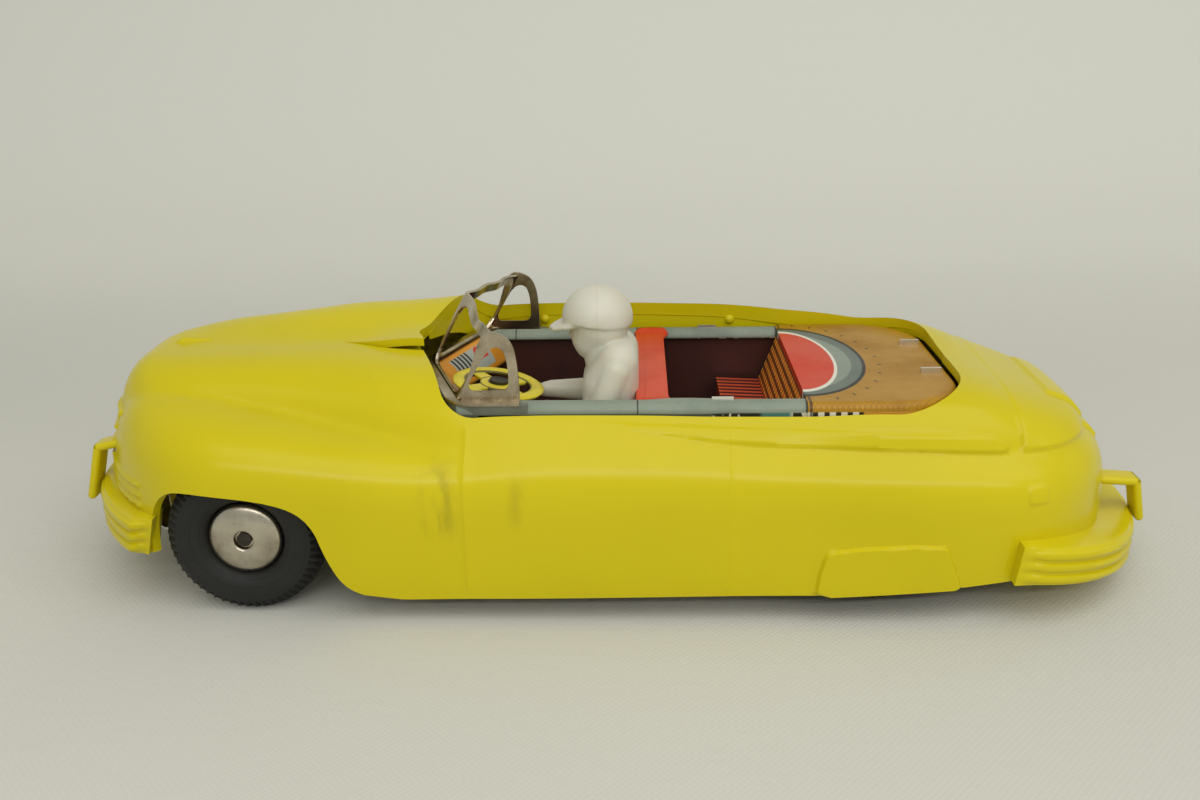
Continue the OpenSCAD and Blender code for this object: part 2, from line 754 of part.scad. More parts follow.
// Steering wheel on a leaning column that turns in a bush on the chassis plate
wheel_at = [vee_front - 13.4, driver_y + 1.2, deck_z - 1.1];
rim_w = 3;
spoke_w = 2.6;
column_l = (wheel_at[2] - plate_top) / cos(column_lean) - 1.4;
module on_column() {
    translate(wheel_at)
        rotate([0, -column_lean, 0])
            children();
}
module steering_wheel() {
    color("yellow")
        on_column()
            linear_extrude(0.9) {
                difference() {
                    circle(d = steering_d);
                    circle(d = steering_d - 2 * rim_w);
                }
                difference() {
                    union() {
                        circle(d = 8);
                        for (a = [45 : 90 : 315])
                            rotate(a)
                                translate([0, -spoke_w / 2])
                                    square([steering_d / 2 - 1, spoke_w]);
                    }
                    circle(d = column_d);
                }
            }
}
module steering_column() {
    color("dimgray")
        on_column() {
            translate([0, 0, -column_l])
                cylinder(d = column_d, h = column_l + 1.2);
            translate([0, 0, -1.2])
                cylinder(d = column_d + 1.4, h = 1.2);
            translate([0, 0, 0.9])
                cylinder(d = column_d + 1.8, h = 0.7);
        }
}
module column_bush() {
    color("dimgray")
        difference() {
            on_column()
                translate([0, 0, -column_l - 4])
                    difference() {
                        cylinder(d = column_d + 3, h = 14);
                        translate([0, 0, -1])
                            cylinder(d = column_d + 2 * slack, h = 20);
                    }
            translate([-60, -60, plate_top - 40])
                cube([120, 120, 40]);
        }
}

// Front axle on a bracket that swings about the kingpin
bracket_y = 20;
bracket_t = 0.8;
bracket_mid = bracket_y - bracket_t / 2;
ear_h = 4.2;
bracket_z = front_top + 0.3;
kingpin_r = 1.9;
module axle_bracket() {
    color("silver")
        difference() {
            along_x(front_x - 4.5, 9)
                polygon(ribbon([[-bracket_mid, axle_z + ear_h], [-bracket_mid, bracket_z + bracket_t / 2],
                    [bracket_mid, bracket_z + bracket_t / 2], [bracket_mid, axle_z + ear_h]], bracket_t));
            turn_at([front_x, axle_z])
                shaft(axle_r + slack, -60, 120);
            translate([front_x, 0, 0])
                cylinder(r = kingpin_r + slack, h = 60);
        }
}
module kingpin() {
    color("silver")
        translate([front_x, 0, front_top - tin - 0.8]) {
            cylinder(r = 3.4, h = 0.8);
            cylinder(r = kingpin_r, h = 2.2 + tin + bracket_t);
            translate([0, 0, 1.3 + tin + bracket_t])
                cylinder(r = 3.2, h = 0.9);
        }
}

// Wheels: pressed hubs fixed on wire axles, with rubber tyres
hub_r = hub_d / 2;
tyre_r = tyre_d / 2;
hub_face = tyre_w / 2 - 0.3;
hub_back = tyre_w / 2 - 0.5;
axle_tip = hub_face - 0.7;
tyre_mid = (tyre_r + hub_r) / 2;
tyre_half = (tyre_r - hub_r) / 2;
tyre_square = 2.5;
tyre_points = 40;
// Half of the tyre's section, between its bead and its tread
function tyre_point(a) =
    let (c = cos(a), s = sin(a), k = 2 / tyre_square)
    [tyre_mid + tyre_half * sign(c) * pow(abs(c), k), tyre_w / 2 * sign(s) * pow(abs(s), k)];
module axle(x, y, collar) {
    turn_at([x, axle_z]) {
        shaft(axle_r, -y - axle_tip, 2 * (y + axle_tip));
        both_sides()
            shaft(axle_r + 1, collar, 1.2);
    }
}
module wheel_hub() {
    rotate([-90, 0, 0])
        rotate_extrude()
            polygon([[axle_r, -hub_back], [hub_r - 0.8, -hub_back], [hub_r, -hub_back + 0.8],
                [hub_r, hub_face - 1.9],
                [hub_r - 0.2, hub_face - 1.3], [hub_r - 1.2, hub_face - 0.7], [hub_r - 3, hub_face - 0.15],
                [axle_r + 1, hub_face], [axle_r + 0.5, hub_face - 0.2], [axle_r + 0.45, hub_face - 1.4],
                [axle_r, hub_face - 1.4]]);
}
module wheel_tyre() {
    rotate([-90, 0, 0])
        rotate_extrude()
            polygon([for (i = [0 : tyre_points - 1]) tyre_point(360 * (i + 0.5) / tyre_points)]);
}
module wheel_place(x, y, s) {
    translate([x, s * y, axle_z])
        scale([1, s, 1])
            children();
}
module front_axle() {
    color("silver")
        axle(front_x, wheel_y, bracket_y + 0.15);
}
module front_hub_left() {
    color("lightgray")
        wheel_place(front_x, wheel_y, 1)
            wheel_hub();
}
module front_hub_right() {
    color("lightgray")
        wheel_place(front_x, wheel_y, -1)
            wheel_hub();
}
module front_tyre_left() {
    color("black")
        wheel_place(front_x, wheel_y, 1)
            wheel_tyre();
}
module front_tyre_right() {
    color("black")
        wheel_place(front_x, wheel_y, -1)
            wheel_tyre();
}
module rear_axle() {
    color("silver")
        axle(rear_x, rear_wheel_y, motor_y + plate_t + 0.15);
}
module rear_hub_left() {
    color("lightgray")
        wheel_place(rear_x, rear_wheel_y, 1)
            wheel_hub();
}
module rear_hub_right() {
    color("lightgray")
        wheel_place(rear_x, rear_wheel_y, -1)
            wheel_hub();
}
module rear_tyre_left() {
    color("black")
        wheel_place(rear_x, rear_wheel_y, 1)
            wheel_tyre();
}
module rear_tyre_right() {
    color("black")
        wheel_place(rear_x, rear_wheel_y, -1)
            wheel_tyre();
}

// Spur gears: involute flanks, radial below the base circle
pressure = 20;
gear_play = 0.12;
flank_steps = 4;
function involute(rb, r) = let (a = acos(min(1, rb / r))) tan(a) * 180 / PI - a;
function flank(rp, half, r) =
    let (base = rp * cos(pressure)) half + involute(base, rp) - involute(base, max(r, base));
function gear_outline(n, tip_h, root_h) =
    let (
        rp = gear_module * n / 2,
        root = rp - root_h * gear_module,
        top = rp + tip_h * gear_module,
        foot = max(root, rp * cos(pressure)),
        half = 90 / n - gear_play / rp * 45 / PI,
        radii = concat([root], [for (k = [0 : flank_steps]) foot + (top - foot) * k / flank_steps])
    )
    [for (i = [0 : n - 1]) each concat(
        [for (r = radii) let (a = 360 * i / n - flank(rp, half, r)) r * [cos(a), sin(a)]],
        [for (k = [len(radii) - 1 : -1 : 0])
            let (r = radii[k], a = 360 * i / n + flank(rp, half, r)) r * [cos(a), sin(a)]])];
module gear(p, n, phase, tip_h, y, w, bore_r) {
    turn_at(p)
        difference() {
            along_y(y, w)
                rotate(phase)
                    polygon(gear_outline(n, tip_h, 1.2));
            shaft(bore_r, y - 1, w + 2);
        }
}
wheel_tip = 0.75;
pinion_tip = 0.95;
pinion_over = 0.6;
module drive_pinion() {
    color("gold")
        gear(axle_at, pinion_teeth, layshaft_dir + 180 / pinion_teeth, pinion_tip,
            layshaft_y - pinion_over, gear_t + 2 * pinion_over, axle_r);
}
module layshaft_wheel() {
    color("gold")
        gear(layshaft_at, layshaft_teeth, layshaft_dir + 180, wheel_tip, layshaft_y, gear_t, pivot_r);
}
module layshaft_pinion() {
    color("gold")
        gear(layshaft_at, pinion_teeth, barrel_dir + 180 / pinion_teeth, pinion_tip,
            barrel_y - pinion_over, gear_t + 2 * pinion_over, pivot_r);
}
module barrel_gear() {
    color("gold")
        gear(barrel_at, barrel_teeth, barrel_dir + 180, wheel_tip, barrel_y, gear_t, arbor_r + slack);
}
module layshaft() {
    color("silver")
        turn_at(layshaft_at)
            shaft(pivot_r, -motor_y - plate_t - 0.5, motor_w + 2 * plate_t + 1);
}

// Spring barrel with its cover, spring and arbor
module spring_barrel() {
    color("darkgray")
        turn_at(barrel_at)
            difference() {
                shaft(drum_r, drum_y, drum_w);
                shaft(drum_r - drum_wall, drum_y - 1, drum_w + 2);
            }
}
module barrel_cover() {
    color("darkgray")
        turn_at(barrel_at)
            difference() {
                shaft(drum_r, drum_y + drum_w, cover_t);
                shaft(arbor_r + slack, drum_y + drum_w - 1, cover_t + 2);
            }
}
core_r = 3.4;
spring_in = core_r + 0.7;
spring_out = drum_r - drum_wall - 0.05;
function spiral(f, side) =
    let (
        r = spring_in + (spring_out - spring_t - spring_in) * f + side * spring_t,
        a = 360 * spring_turns * f
    )
    r * [cos(a), sin(a)];
module mainspring() {
    steps = 24 * spring_turns;
    color("slategray")
        turn_at(barrel_at)
            along_y(drum_y + 0.6, drum_w - 1.2)
                polygon(concat([for (i = [0 : steps]) spiral(i / steps, 0)],
                    [for (i = [steps : -1 : 0]) spiral(i / steps, 1)]));
}
module winding_arbor() {
    color("silver")
        turn_at(barrel_at) {
            shaft(arbor_r, key_y - 1, motor_y + plate_t + 0.6 - key_y + 1);
            shaft(core_r, drum_y + 0.2, drum_w - 0.4);
        }
}
module ratchet_wheel() {
    step = 360 / ratchet_teeth;
    color("gold")
        turn_at(barrel_at)
            difference() {
                along_y(ratchet_y, ratchet_t)
                    polygon([for (i = [0 : ratchet_teeth - 1]) each [
                        ratchet_root * [cos(step * i), sin(step * i)],
                        ratchet_r * [cos(step * i), sin(step * i)]]]);
                shaft(arbor_r, ratchet_y - 1, ratchet_t + 2);
            }
}
click_pin_r = 0.9;
module click() {
    color("silver")
        difference() {
            turn_at(barrel_at)
                along_y(ratchet_y, ratchet_t)
                    polygon([[ratchet_root + 0.25, -0.15], [ratchet_root + 1.6, -0.15], [8.4, -8.5],
                        [8.4, -12.4], [7.2, -12.4], [4.6, -10], [4.9, -7.5], [ratchet_root + 1.5, -4.5]]);
            turn_at(click_at)
                shaft(click_pin_r + slack, ratchet_y - 1, ratchet_t + 2);
        }
}
module click_rivet() {
    color("silver")
        turn_at(click_at) {
            shaft(click_pin_r, ratchet_y - 0.5, ratchet_t + 0.5 - ratchet_y - ratchet_t - motor_y - plate_t);
            shaft(1.7, ratchet_y - 0.9, 0.8);
            shaft(1.7, ratchet_y + ratchet_t + 0.1, -ratchet_y - ratchet_t - 0.1 - motor_y - plate_t);
        }
}
module click_spring() {
    y0 = ratchet_y + 0.1;
    color("slategray")
        turn_at(barrel_at) {
            along_y(y0, ratchet_t - 0.2)
                polygon(ribbon([[-8.5, -10.8], [-2, -12.6], [6.1, -12.6]], 0.3));
            translate([-8.5, 0, -10.8])
                shaft(1, y0, -y0 - motor_y - plate_t);
        }
}

// Winding key on the right flank
module winding_key() {
    color("silver")
        turn_at(barrel_at) {
            difference() {
                shaft(key_r, key_y - 3, ratchet_y - 0.6 - key_y + 3);
                shaft(arbor_r, key_y - 1, 60);
            }
            translate([0, key_y - 3 - key_lobe, -0.6])
                linear_extrude(1.2)
                    difference() {
                        union() {
                            for (s = [-1, 1])
                                translate([s * key_lobe, 0])
                                    circle(r = key_lobe);
                            translate([-key_lobe, -key_lobe * 0.6])
                                square([2 * key_lobe, key_lobe * 1.2]);
                            translate([-key_r, 0])
                                square([2 * key_r, key_lobe + 0.5]);
                        }
                        for (s = [-1, 1])
                            translate([s * key_lobe * 1.1, 0])
                                circle(r = key_lobe * 0.45);
                    }
        }
}

// Motor frame: two plates with tabs through the deck, held apart by pillars
plate_low = plate_top + 0.02;
pillars = [[rear_x + 5.5, 9.6], [rear_x + 6.5, 38.6], barrel_at + [-12.9, -13], barrel_at + [5.2, 15.6]];
plate_outline = [[rear_x + 8.5, plate_low], [rear_x + 9.5, deck_under - 1.4], [rear_x + 7, deck_under - 0.03],
    [tab_x - 2.4, deck_under - 0.03], [tab_x - 2.4, deck_z - flange_h - 0.9],
    [barrel_at[0] - 12, 33], [barrel_at[0] - 15, 14], [barrel_at[0] - 15, plate_low]];
module motor_plate(y) {
    difference() {
        along_y(y, plate_t) {
            polygon(plate_outline);
            translate([tab_x - tab_l / 2, deck_under - 1])
                square([tab_l, tin + 2.2]);
        }
        turn_at(axle_at)
            shaft(axle_r + slack, -60, 120);
        turn_at(layshaft_at)
            shaft(pivot_r + slack, -60, 120);
        turn_at(barrel_at)
            shaft(arbor_r + slack, -60, 120);
        for (p = pillars)
            turn_at(p)
                shaft(pivot_r, -60, 120);
    }
}
module motor_plate_left() {
    color("lightgray")
        motor_plate(motor_y);
}
module motor_plate_right() {
    color("lightgray")
        motor_plate(-motor_y - plate_t);
}
module motor_pillars() {
    color("silver")
        for (p = pillars)
            turn_at(p) {
                shaft(1.5, -motor_y, motor_w);
                shaft(pivot_r, -motor_y - plate_t - 0.8, motor_w + 2 * plate_t + 1.6);
                both_sides()
                    shaft(1.9, motor_y + plate_t, 0.8);
            }
}

body_shell();
chassis_plate();
chassis_screws();
interior_deck();
cabin_wall_left();
cabin_wall_right();
dashboard();
firewall();
front_seat();
rear_seat();
windscreen();
driver();
steering_wheel();
steering_column();
column_bush();
axle_bracket();
kingpin();
front_axle();
front_hub_left();
front_hub_right();
front_tyre_left();
front_tyre_right();
rear_axle();
rear_hub_left();
rear_hub_right();
rear_tyre_left();
rear_tyre_right();
drive_pinion();
motor_plate_left();
motor_plate_right();
motor_pillars();
layshaft();
layshaft_wheel();
layshaft_pinion();
barrel_gear();
spring_barrel();
barrel_cover();
mainspring();
winding_arbor();
ratchet_wheel();
click();
click_rivet();
click_spring();
winding_key();
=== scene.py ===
"""A wind-up toy convertible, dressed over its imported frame."""
import json
import math

import bmesh
import bpy
from mathutils import Matrix, Vector


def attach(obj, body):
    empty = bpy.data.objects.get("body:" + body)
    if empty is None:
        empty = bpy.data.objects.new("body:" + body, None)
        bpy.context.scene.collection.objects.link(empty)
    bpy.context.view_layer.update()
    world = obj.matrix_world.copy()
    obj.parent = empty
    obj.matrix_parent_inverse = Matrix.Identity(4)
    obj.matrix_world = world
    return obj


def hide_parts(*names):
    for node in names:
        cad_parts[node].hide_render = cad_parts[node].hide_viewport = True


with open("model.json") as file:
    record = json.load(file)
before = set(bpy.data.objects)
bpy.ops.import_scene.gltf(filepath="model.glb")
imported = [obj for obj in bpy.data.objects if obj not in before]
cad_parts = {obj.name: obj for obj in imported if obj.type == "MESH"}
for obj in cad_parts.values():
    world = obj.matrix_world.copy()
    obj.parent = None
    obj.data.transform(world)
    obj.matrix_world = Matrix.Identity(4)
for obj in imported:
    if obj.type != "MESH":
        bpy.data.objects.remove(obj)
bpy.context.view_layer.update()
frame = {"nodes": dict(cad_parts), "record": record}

MM = 0.001


# Shader kit

class Value:
    """A shader socket that takes part in arithmetic."""

    def __init__(self, finish, socket):
        self.finish = finish
        self.socket = socket

    def math(self, operation, *others):
        return self.finish.math(operation, self, *others)

    def __add__(self, other):
        return self.math("ADD", other)

    def __sub__(self, other):
        return self.math("SUBTRACT", other)

    def __rsub__(self, other):
        return self.finish.math("SUBTRACT", other, self)

    def __mul__(self, other):
        return self.math("MULTIPLY", other)

    def __truediv__(self, other):
        return self.math("DIVIDE", other)

    def __pow__(self, other):
        return self.math("POWER", other)

    def __abs__(self):
        return self.math("ABSOLUTE")

    __radd__ = __add__
    __rmul__ = __mul__


class Finish:
    """A material, and the nodes that give it its colour, gloss and relief."""

    def __init__(self, name, **constants):
        self.material = bpy.data.materials.new(name)
        self.material.use_nodes = True
        self.tree = self.material.node_tree
        self.shader = self.tree.nodes["Principled BSDF"]
        for socket, value in constants.items():
            self.shader.inputs[socket.replace("_", " ")].default_value = value

    def node(self, kind, settings=(), inputs=(), output=0):
        made = self.tree.nodes.new(kind)
        for name, value in dict(settings).items():
            setattr(made, name, value)
        for key, value in dict(inputs).items():
            if isinstance(value, Value):
                self.tree.links.new(value.socket, made.inputs[key])
            else:
                made.inputs[key].default_value = value
        return Value(self, made.outputs[output])

    def math(self, operation, *values):
        return self.node("ShaderNodeMath", {"operation": operation}, enumerate(values))

    def high(self, *values):
        total = values[0]
        for value in values[1:]:
            total = self.math("MAXIMUM", total, value)
        return total

    def length(self, a, b):
        return (a * a + b * b) ** 0.5

    def rise(self, value, start, end):
        """0 before start, 1 after end, smooth between them."""
        return self.node("ShaderNodeMapRange", {"interpolation_type": "SMOOTHSTEP"},
                         {"Value": value, "From Min": start, "From Max": end})

    def fall(self, value, start, end):
        """1 before start, 0 after end."""
        return 1 - self.rise(value, start, end)

    def band(self, value, low, high, soft=0.12):
        """1 between low and high, 0 outside them."""
        return self.rise(value, low - soft, low + soft) * self.fall(value, high - soft, high + soft)

    def comb(self, value, pitch):
        """0.5 at each multiple of the pitch, 0 midway between."""
        return abs((value / pitch).math("PINGPONG", 1) - 0.5)

    def place(self):
        """The piece's own coordinates in millimetres."""
        spot = self.node("ShaderNodeTexCoord", output="Object")
        return [self.node("ShaderNodeSeparateXYZ", inputs={0: spot}, output=k) * 1000 for k in range(3)]

    def spot(self, x, y, z):
        return self.node("ShaderNodeCombineXYZ", inputs={0: x, 1: y, 2: z})

    def noise(self, scale, detail=3, roughness=0.5, at=None):
        inputs = {"Scale": scale, "Detail": detail, "Roughness": roughness}
        inputs["Vector"] = at or self.node("ShaderNodeTexCoord", output="Object")
        return self.node("ShaderNodeTexNoise", inputs=inputs)

    def stain(self, scale):
        """Broad patches, from 0 to 1."""
        return self.rise(self.noise(scale, 5, 0.6), 0.35, 0.75)

    def mix(self, share, under, over):
        """One colour over another; a colour is a Value, or red, green and blue from 0 to 255."""
        def colour(c):
            return c if isinstance(c, Value) else (*srgb(*c), 1)
        return self.node("ShaderNodeMix", {"data_type": "RGBA"},
                         {"Factor": share, 6: colour(under), 7: colour(over)}, output=2)

    def coats(self, colour, *coats):
        """Colours laid over a first one, each with its share."""
        for share, over in coats:
            colour = self.mix(share, colour, over)
        return colour

    def feed(self, **values):
        for name, value in values.items():
            self.tree.links.new(value.socket, self.shader.inputs[name.replace("_", " ")])
        return self

    def relief(self, height, strength=0.3, distance=0.1 * MM):
        inputs = {"Height": height, "Strength": strength, "Distance": distance}
        bump = self.node("ShaderNodeBump", inputs=inputs)
        self.tree.links.new(bump.socket, self.shader.inputs["Normal"])
        return self


def srgb(red, green, blue):
    """A colour from 0 to 255 in the linear values that a shader takes."""
    def linear(c):
        c /= 255
        return c / 12.92 if c <= 0.04045 else ((c + 0.055) / 1.055) ** 2.4
    return linear(red), linear(green), linear(blue)


# Mesh kit

def slice_where(bm, field, near=None):
    """Cuts the faces along the line where the field is zero."""
    value = {v: field(v.co) for v in bm.verts if near is None or near(v.co)}
    fresh = []
    for edge in list(bm.edges):
        a, b = edge.verts
        if a in value and b in value and value[a] * value[b] < 0:
            fresh.append(bmesh.utils.edge_split(edge, a, value[a] / (value[a] - value[b]))[1])
    bmesh.ops.connect_verts(bm, verts=fresh)


def keep_where(bm, field):
    """Cuts along the line where the field is zero and keeps its positive side."""
    slice_where(bm, field)
    gone = [f for f in bm.faces if field(f.calc_center_median()) < 0]
    bmesh.ops.delete(bm, geom=gone, context="FACES")


def sharpen(bm, angle):
    """Shades the mesh smooth, apart from edges that turn by more than the angle."""
    limit = math.radians(angle)
    for face in bm.faces:
        face.smooth = True
    for edge in bm.edges:
        edge.smooth = not (edge.is_manifold and edge.calc_face_angle() > limit)


def placed(name, data):
    """A new object in the scene."""
    made = bpy.data.objects.new(name, data)
    bpy.context.scene.collection.objects.link(made)
    return made


def finished(name, bm, finish, angle=35):
    """Turns a mesh in millimetres into an object of one finish."""
    bmesh.ops.scale(bm, vec=(MM, MM, MM), verts=bm.verts)
    sharpen(bm, angle)
    mesh = bpy.data.meshes.new(name)
    bm.to_mesh(mesh)
    bm.free()
    mesh.materials.append(finish.material)
    return placed(name, mesh)


def make(name, bm, finish, body, slot, *nodes, angle=35):
    """Turns a mesh in millimetres into a finished piece that rides on a body."""
    piece = finished(name, bm, finish, angle)
    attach(piece, body)
    if nodes:
        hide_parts(*nodes)
    return piece


def sheet_metal(piece, thick, offset=-1):
    """Gives a sheet its thickness: on its inner side, or with offset 0 on both."""
    tin = piece.modifiers.new("tin", "SOLIDIFY")
    tin.thickness = thick * MM
    tin.offset = offset


def soft_edges(piece, width, segments, angle):
    bevel = piece.modifiers.new("soft edges", "BEVEL")
    bevel.width = width * MM
    bevel.segments = segments
    bevel.limit_method = "ANGLE"
    bevel.angle_limit = math.radians(angle)


def outward(bm):
    bmesh.ops.recalc_face_normals(bm, faces=bm.faces)
    return bm


def facing_to(bm, way):
    """Turns an open sheet so that it faces one way."""
    outward(bm)
    if sum(f.normal.dot(way) for f in bm.faces) < 0:
        bmesh.ops.reverse_faces(bm, faces=bm.faces)


def strip(along, across, spot):
    """A grid whose vertices are put where spot(u, v) says, u and v running from 0 to 1."""
    bm = bmesh.new()
    bmesh.ops.create_grid(bm, x_segments=along, y_segments=across, size=0.5)
    for v in bm.verts:
        v.co = spot(v.co.x + 0.5, v.co.y + 0.5)
    return bm


def hull_of(*balls, parts=12):
    """The skin stretched over some balls, each a place and a radius."""
    bm = bmesh.new()
    for spot, radius in balls:
        bmesh.ops.create_uvsphere(bm, u_segments=2 * parts, v_segments=parts, radius=radius,
                                  matrix=Matrix.Translation(spot))
    bmesh.ops.delete(bm, geom=bm.edges[:], context="EDGES_FACES")
    bmesh.ops.convex_hull(bm, input=bm.verts)
    bmesh.ops.delete(bm, geom=[v for v in bm.verts if not v.link_faces], context="VERTS")
    return outward(bm)


def joined(*parts):
    """One mesh out of several."""
    total = bmesh.new()
    for bm in parts:
        step = bpy.data.meshes.new("step")
        bm.to_mesh(step)
        bm.free()
        total.from_mesh(step)
        bpy.data.meshes.remove(step)
    return total


def spun(profile, steps, middle, side):
    """A closed profile of (radius, y) turned about the y axis through a middle point."""
    count = len(profile)

    def spot(u, v):
        r, y = profile[round(v * count) % count]
        turn = 2 * math.pi * u
        return middle[0] + r * math.cos(turn), middle[1] + side * y, middle[2] + r * math.sin(turn)
    bm = strip(steps, count, spot)
    bmesh.ops.remove_doubles(bm, verts=bm.verts, dist=1e-5)
    return outward(bm)


def inside_of(outline, x, z):
    """How far a point lies inside a closed outline."""
    best, inside = 1e9, False
    for (x0, z0), (x1, z1) in zip(outline, outline[1:] + outline[:1]):
        dx, dz = x1 - x0, z1 - z0
        t = min(1, max(0, ((x - x0) * dx + (z - z0) * dz) / (dx * dx + dz * dz)))
        best = min(best, math.hypot(x - x0 - t * dx, z - z0 - t * dz))
        if (z0 > z) != (z1 > z) and x < x0 + (z - z0) * dx / dz:
            inside = not inside
    return best if inside else -best


def rounded(outline):
    """Cuts the corners of a closed outline."""
    soft = []
    for (x0, z0), (x1, z1) in zip(outline, outline[1:] + outline[:1]):
        soft += [(0.75 * x0 + 0.25 * x1, 0.75 * z0 + 0.25 * z1),
                 (0.25 * x0 + 0.75 * x1, 0.25 * z0 + 0.75 * z1)]
    return soft


def emboss(bm, field, height, soft, near):
    """Raises the skin where the field is above zero, with a flank as wide as soft."""
    slice_where(bm, field, near)
    slice_where(bm, lambda co: field(co) - soft, near)
    bm.normal_update()
    for v in bm.verts:
        if near(v.co):
            share = smooth(field(v.co), 0, soft)
            v.co += v.normal * share * (height(v.co) if callable(height) else height)


def drop_lip(bm, edges, move):
    """Extrudes some edges and moves each new vertex by move(place, normal)."""
    bm.normal_update()
    where = {tuple(round(c, 4) for c in v.co): move(v.co, v.normal) for e in edges for v in e.verts}
    for v in bmesh.ops.extrude_edge_only(bm, edges=edges)["geom"]:
        if isinstance(v, bmesh.types.BMVert):
            v.co = where[tuple(round(c, 4) for c in v.co)]


def smooth(value, start, end):
    """0 before start, 1 after end, smooth between them."""
    share = min(1, max(0, (value - start) / (end - start)))
    return share * share * (3 - 2 * share)


# Sizes of the car, in millimetres
front_x = 65
rear_x = -65
half_w = 40.05
nose_x = 102.5
tail_x = -118.5
core_z = 16
core_drop = 22
wheel_z = 16.5
wall = 1.8
bonnet_z = 49.2
wing_z = 44.6
rear_wing_z = 36.5
sill_z = 5
deck_z = 43.5
deck_rear = -82.5
deck_half = 29.25
deck_corner = 15
deck_shoulder = 7
apex_x = 31.5
shoulder_x = 21.5
opening_gap = 1.3
front_bumper_z = 12.4
rear_bumper_z = 5.7
plate_top = 6.1


# Body shell: two lofted forms blended about a core line

# Each row: station, half width, top and squareness; the upper rows add the sharpness of the blend
lower_rows = [
    (tail_x, half_w - 4, rear_wing_z - 3, 3.4),
    (tail_x + 24, half_w - 1.5, rear_wing_z - 0.8, 4.2),
    (rear_x, half_w, rear_wing_z + 0.3, 4.7),
    (rear_x + 30, half_w - 0.2, rear_wing_z + 1.5, 4.7),
    (0, half_w - 0.3, rear_wing_z + 1.8, 4.7),
    (front_x - 35, half_w - 0.2, wing_z - 7.6, 5.2),
    (front_x, half_w, wing_z - 3, 5),
    (front_x + 18, half_w - 1, wing_z - 0.4, 4),
    (nose_x, half_w - 5, wing_z - 2, 3)]
upper_rows = [
    (tail_x + 3.5, half_w - 8, rear_wing_z - 1.5, 3, 60),
    (tail_x + 21, half_w - 7, rear_wing_z + 4.7, 3.8, 70),
    (deck_rear - 3, half_w - 6, deck_z + 1.3, 4.5, 70),
    (rear_x - 3, half_w - 5.6, deck_z + 2.2, 5, 70),
    (rear_x + 15, half_w - 5.2, deck_z + 2.2, 4.6, 60),
    (rear_x + 32, half_w - 3.8, deck_z + 2.7, 3.9, 30),
    (rear_x + 50, half_w - 3.2, deck_z + 3.8, 3.5, 20),
    (front_x - 55, half_w - 3.5, deck_z + 4.5, 3.4, 20),
    (front_x - 44, half_w - 4.8, bonnet_z - 0.2, 3.3, 30),
    (front_x - 34, half_w - 7.6, bonnet_z, 3.3, 50),
    (front_x - 22, half_w - 10.8, bonnet_z, 3.4, 70),
    (front_x - 8, half_w - 13.6, bonnet_z, 3.6, 80),
    (front_x + 8, half_w - 15.2, bonnet_z - 0.2, 3.9, 80),
    (front_x + 22, half_w - 15.6, bonnet_z - 0.6, 4, 60),
    (nose_x, half_w - 18.5, bonnet_z - 1.4, 3, 50)]
# Length and squareness of the rounding: front in plan and height, then rear in plan and height
lower_ends = [(36, 2), (17, 2.4), (30, 2.2), (14, 2.6)]
upper_ends = [(28, 2), (14, 2.4), (18, 2.2), (9, 2.2)]
# Keeps the ends of the forms from closing to a point
tip = 0.9985


def slope(rows, column, i):
    """The slope of one column at row i, from the rows beside it."""
    a, b = max(i - 1, 0), min(i + 1, len(rows) - 1)
    return (rows[b][column] - rows[a][column]) / (rows[b][0] - rows[a][0])


def curve(rows, column, x):
    """A smooth curve through one column of the rows."""
    i = 0
    while i < len(rows) - 2 and x >= rows[i + 1][0]:
        i += 1
    width = rows[i + 1][0] - rows[i][0]
    s = min(1, max(0, (x - rows[i][0]) / width))
    a, b = rows[i][column], rows[i + 1][column]
    p, q = slope(rows, column, i) * width, slope(rows, column, i + 1) * width
    return a + s * (p + s * (3 * (b - a) - 2 * p - q + s * (2 * (a - b) + p + q)))


def rounding(x, front, rear, ends, k):
    """The share of its size that a form keeps at station x: in plan for k = 0, in height for k = 1."""
    total = 1
    for away, (length, square) in (((x - front), ends[k]), ((rear - x), ends[k + 2])):
        share = min(tip, max(0, away / length + 1))
        total *= (1 - share ** square) ** (1 / square)
    return total


def section(x, grow):
    """The two blended forms at station x: half width, top, drop and squareness, then the blend."""
    forms = []
    for rows, ends in ((lower_rows, lower_ends), (upper_rows, upper_ends)):
        rear = rows[0][0] - grow
        if x >= rear:
            profile = rounding(x, nose_x + grow, rear, ends, 1)
            width = (curve(rows, 1, x) + grow) * rounding(x, nose_x + grow, rear, ends, 0)
            top = (curve(rows, 2, x) + grow - core_z) * profile
            forms.append((width, top, core_drop * profile, curve(rows, 3, x)))
    return forms, curve(upper_rows, 4, x)


def section_radius(forms, blend, angle):
    """How far the blended section reaches from the core line at an angle."""
    across, up = abs(math.cos(angle)), math.sin(angle)
    radii = []
    for width, top, drop, square in forms:
        height = top if up > 0 else drop
        radii.append(((across / width) ** square + (abs(up) / height) ** square) ** (-1 / square))
    most = max(radii)
    return most * sum((r / most) ** blend for r in radii) ** (1 / blend)


def shell_angle(share):
    """Angles round a section, closest together at the shoulders of the wings."""
    widest, crowding, shift = 106, 0.062, 0.07
    turn = 2 * share - 1
    side = abs(turn)
    spread = widest * (side - crowding * math.sin(2 * math.pi * (side - shift)))
    return math.radians(90 - math.copysign(spread, turn))


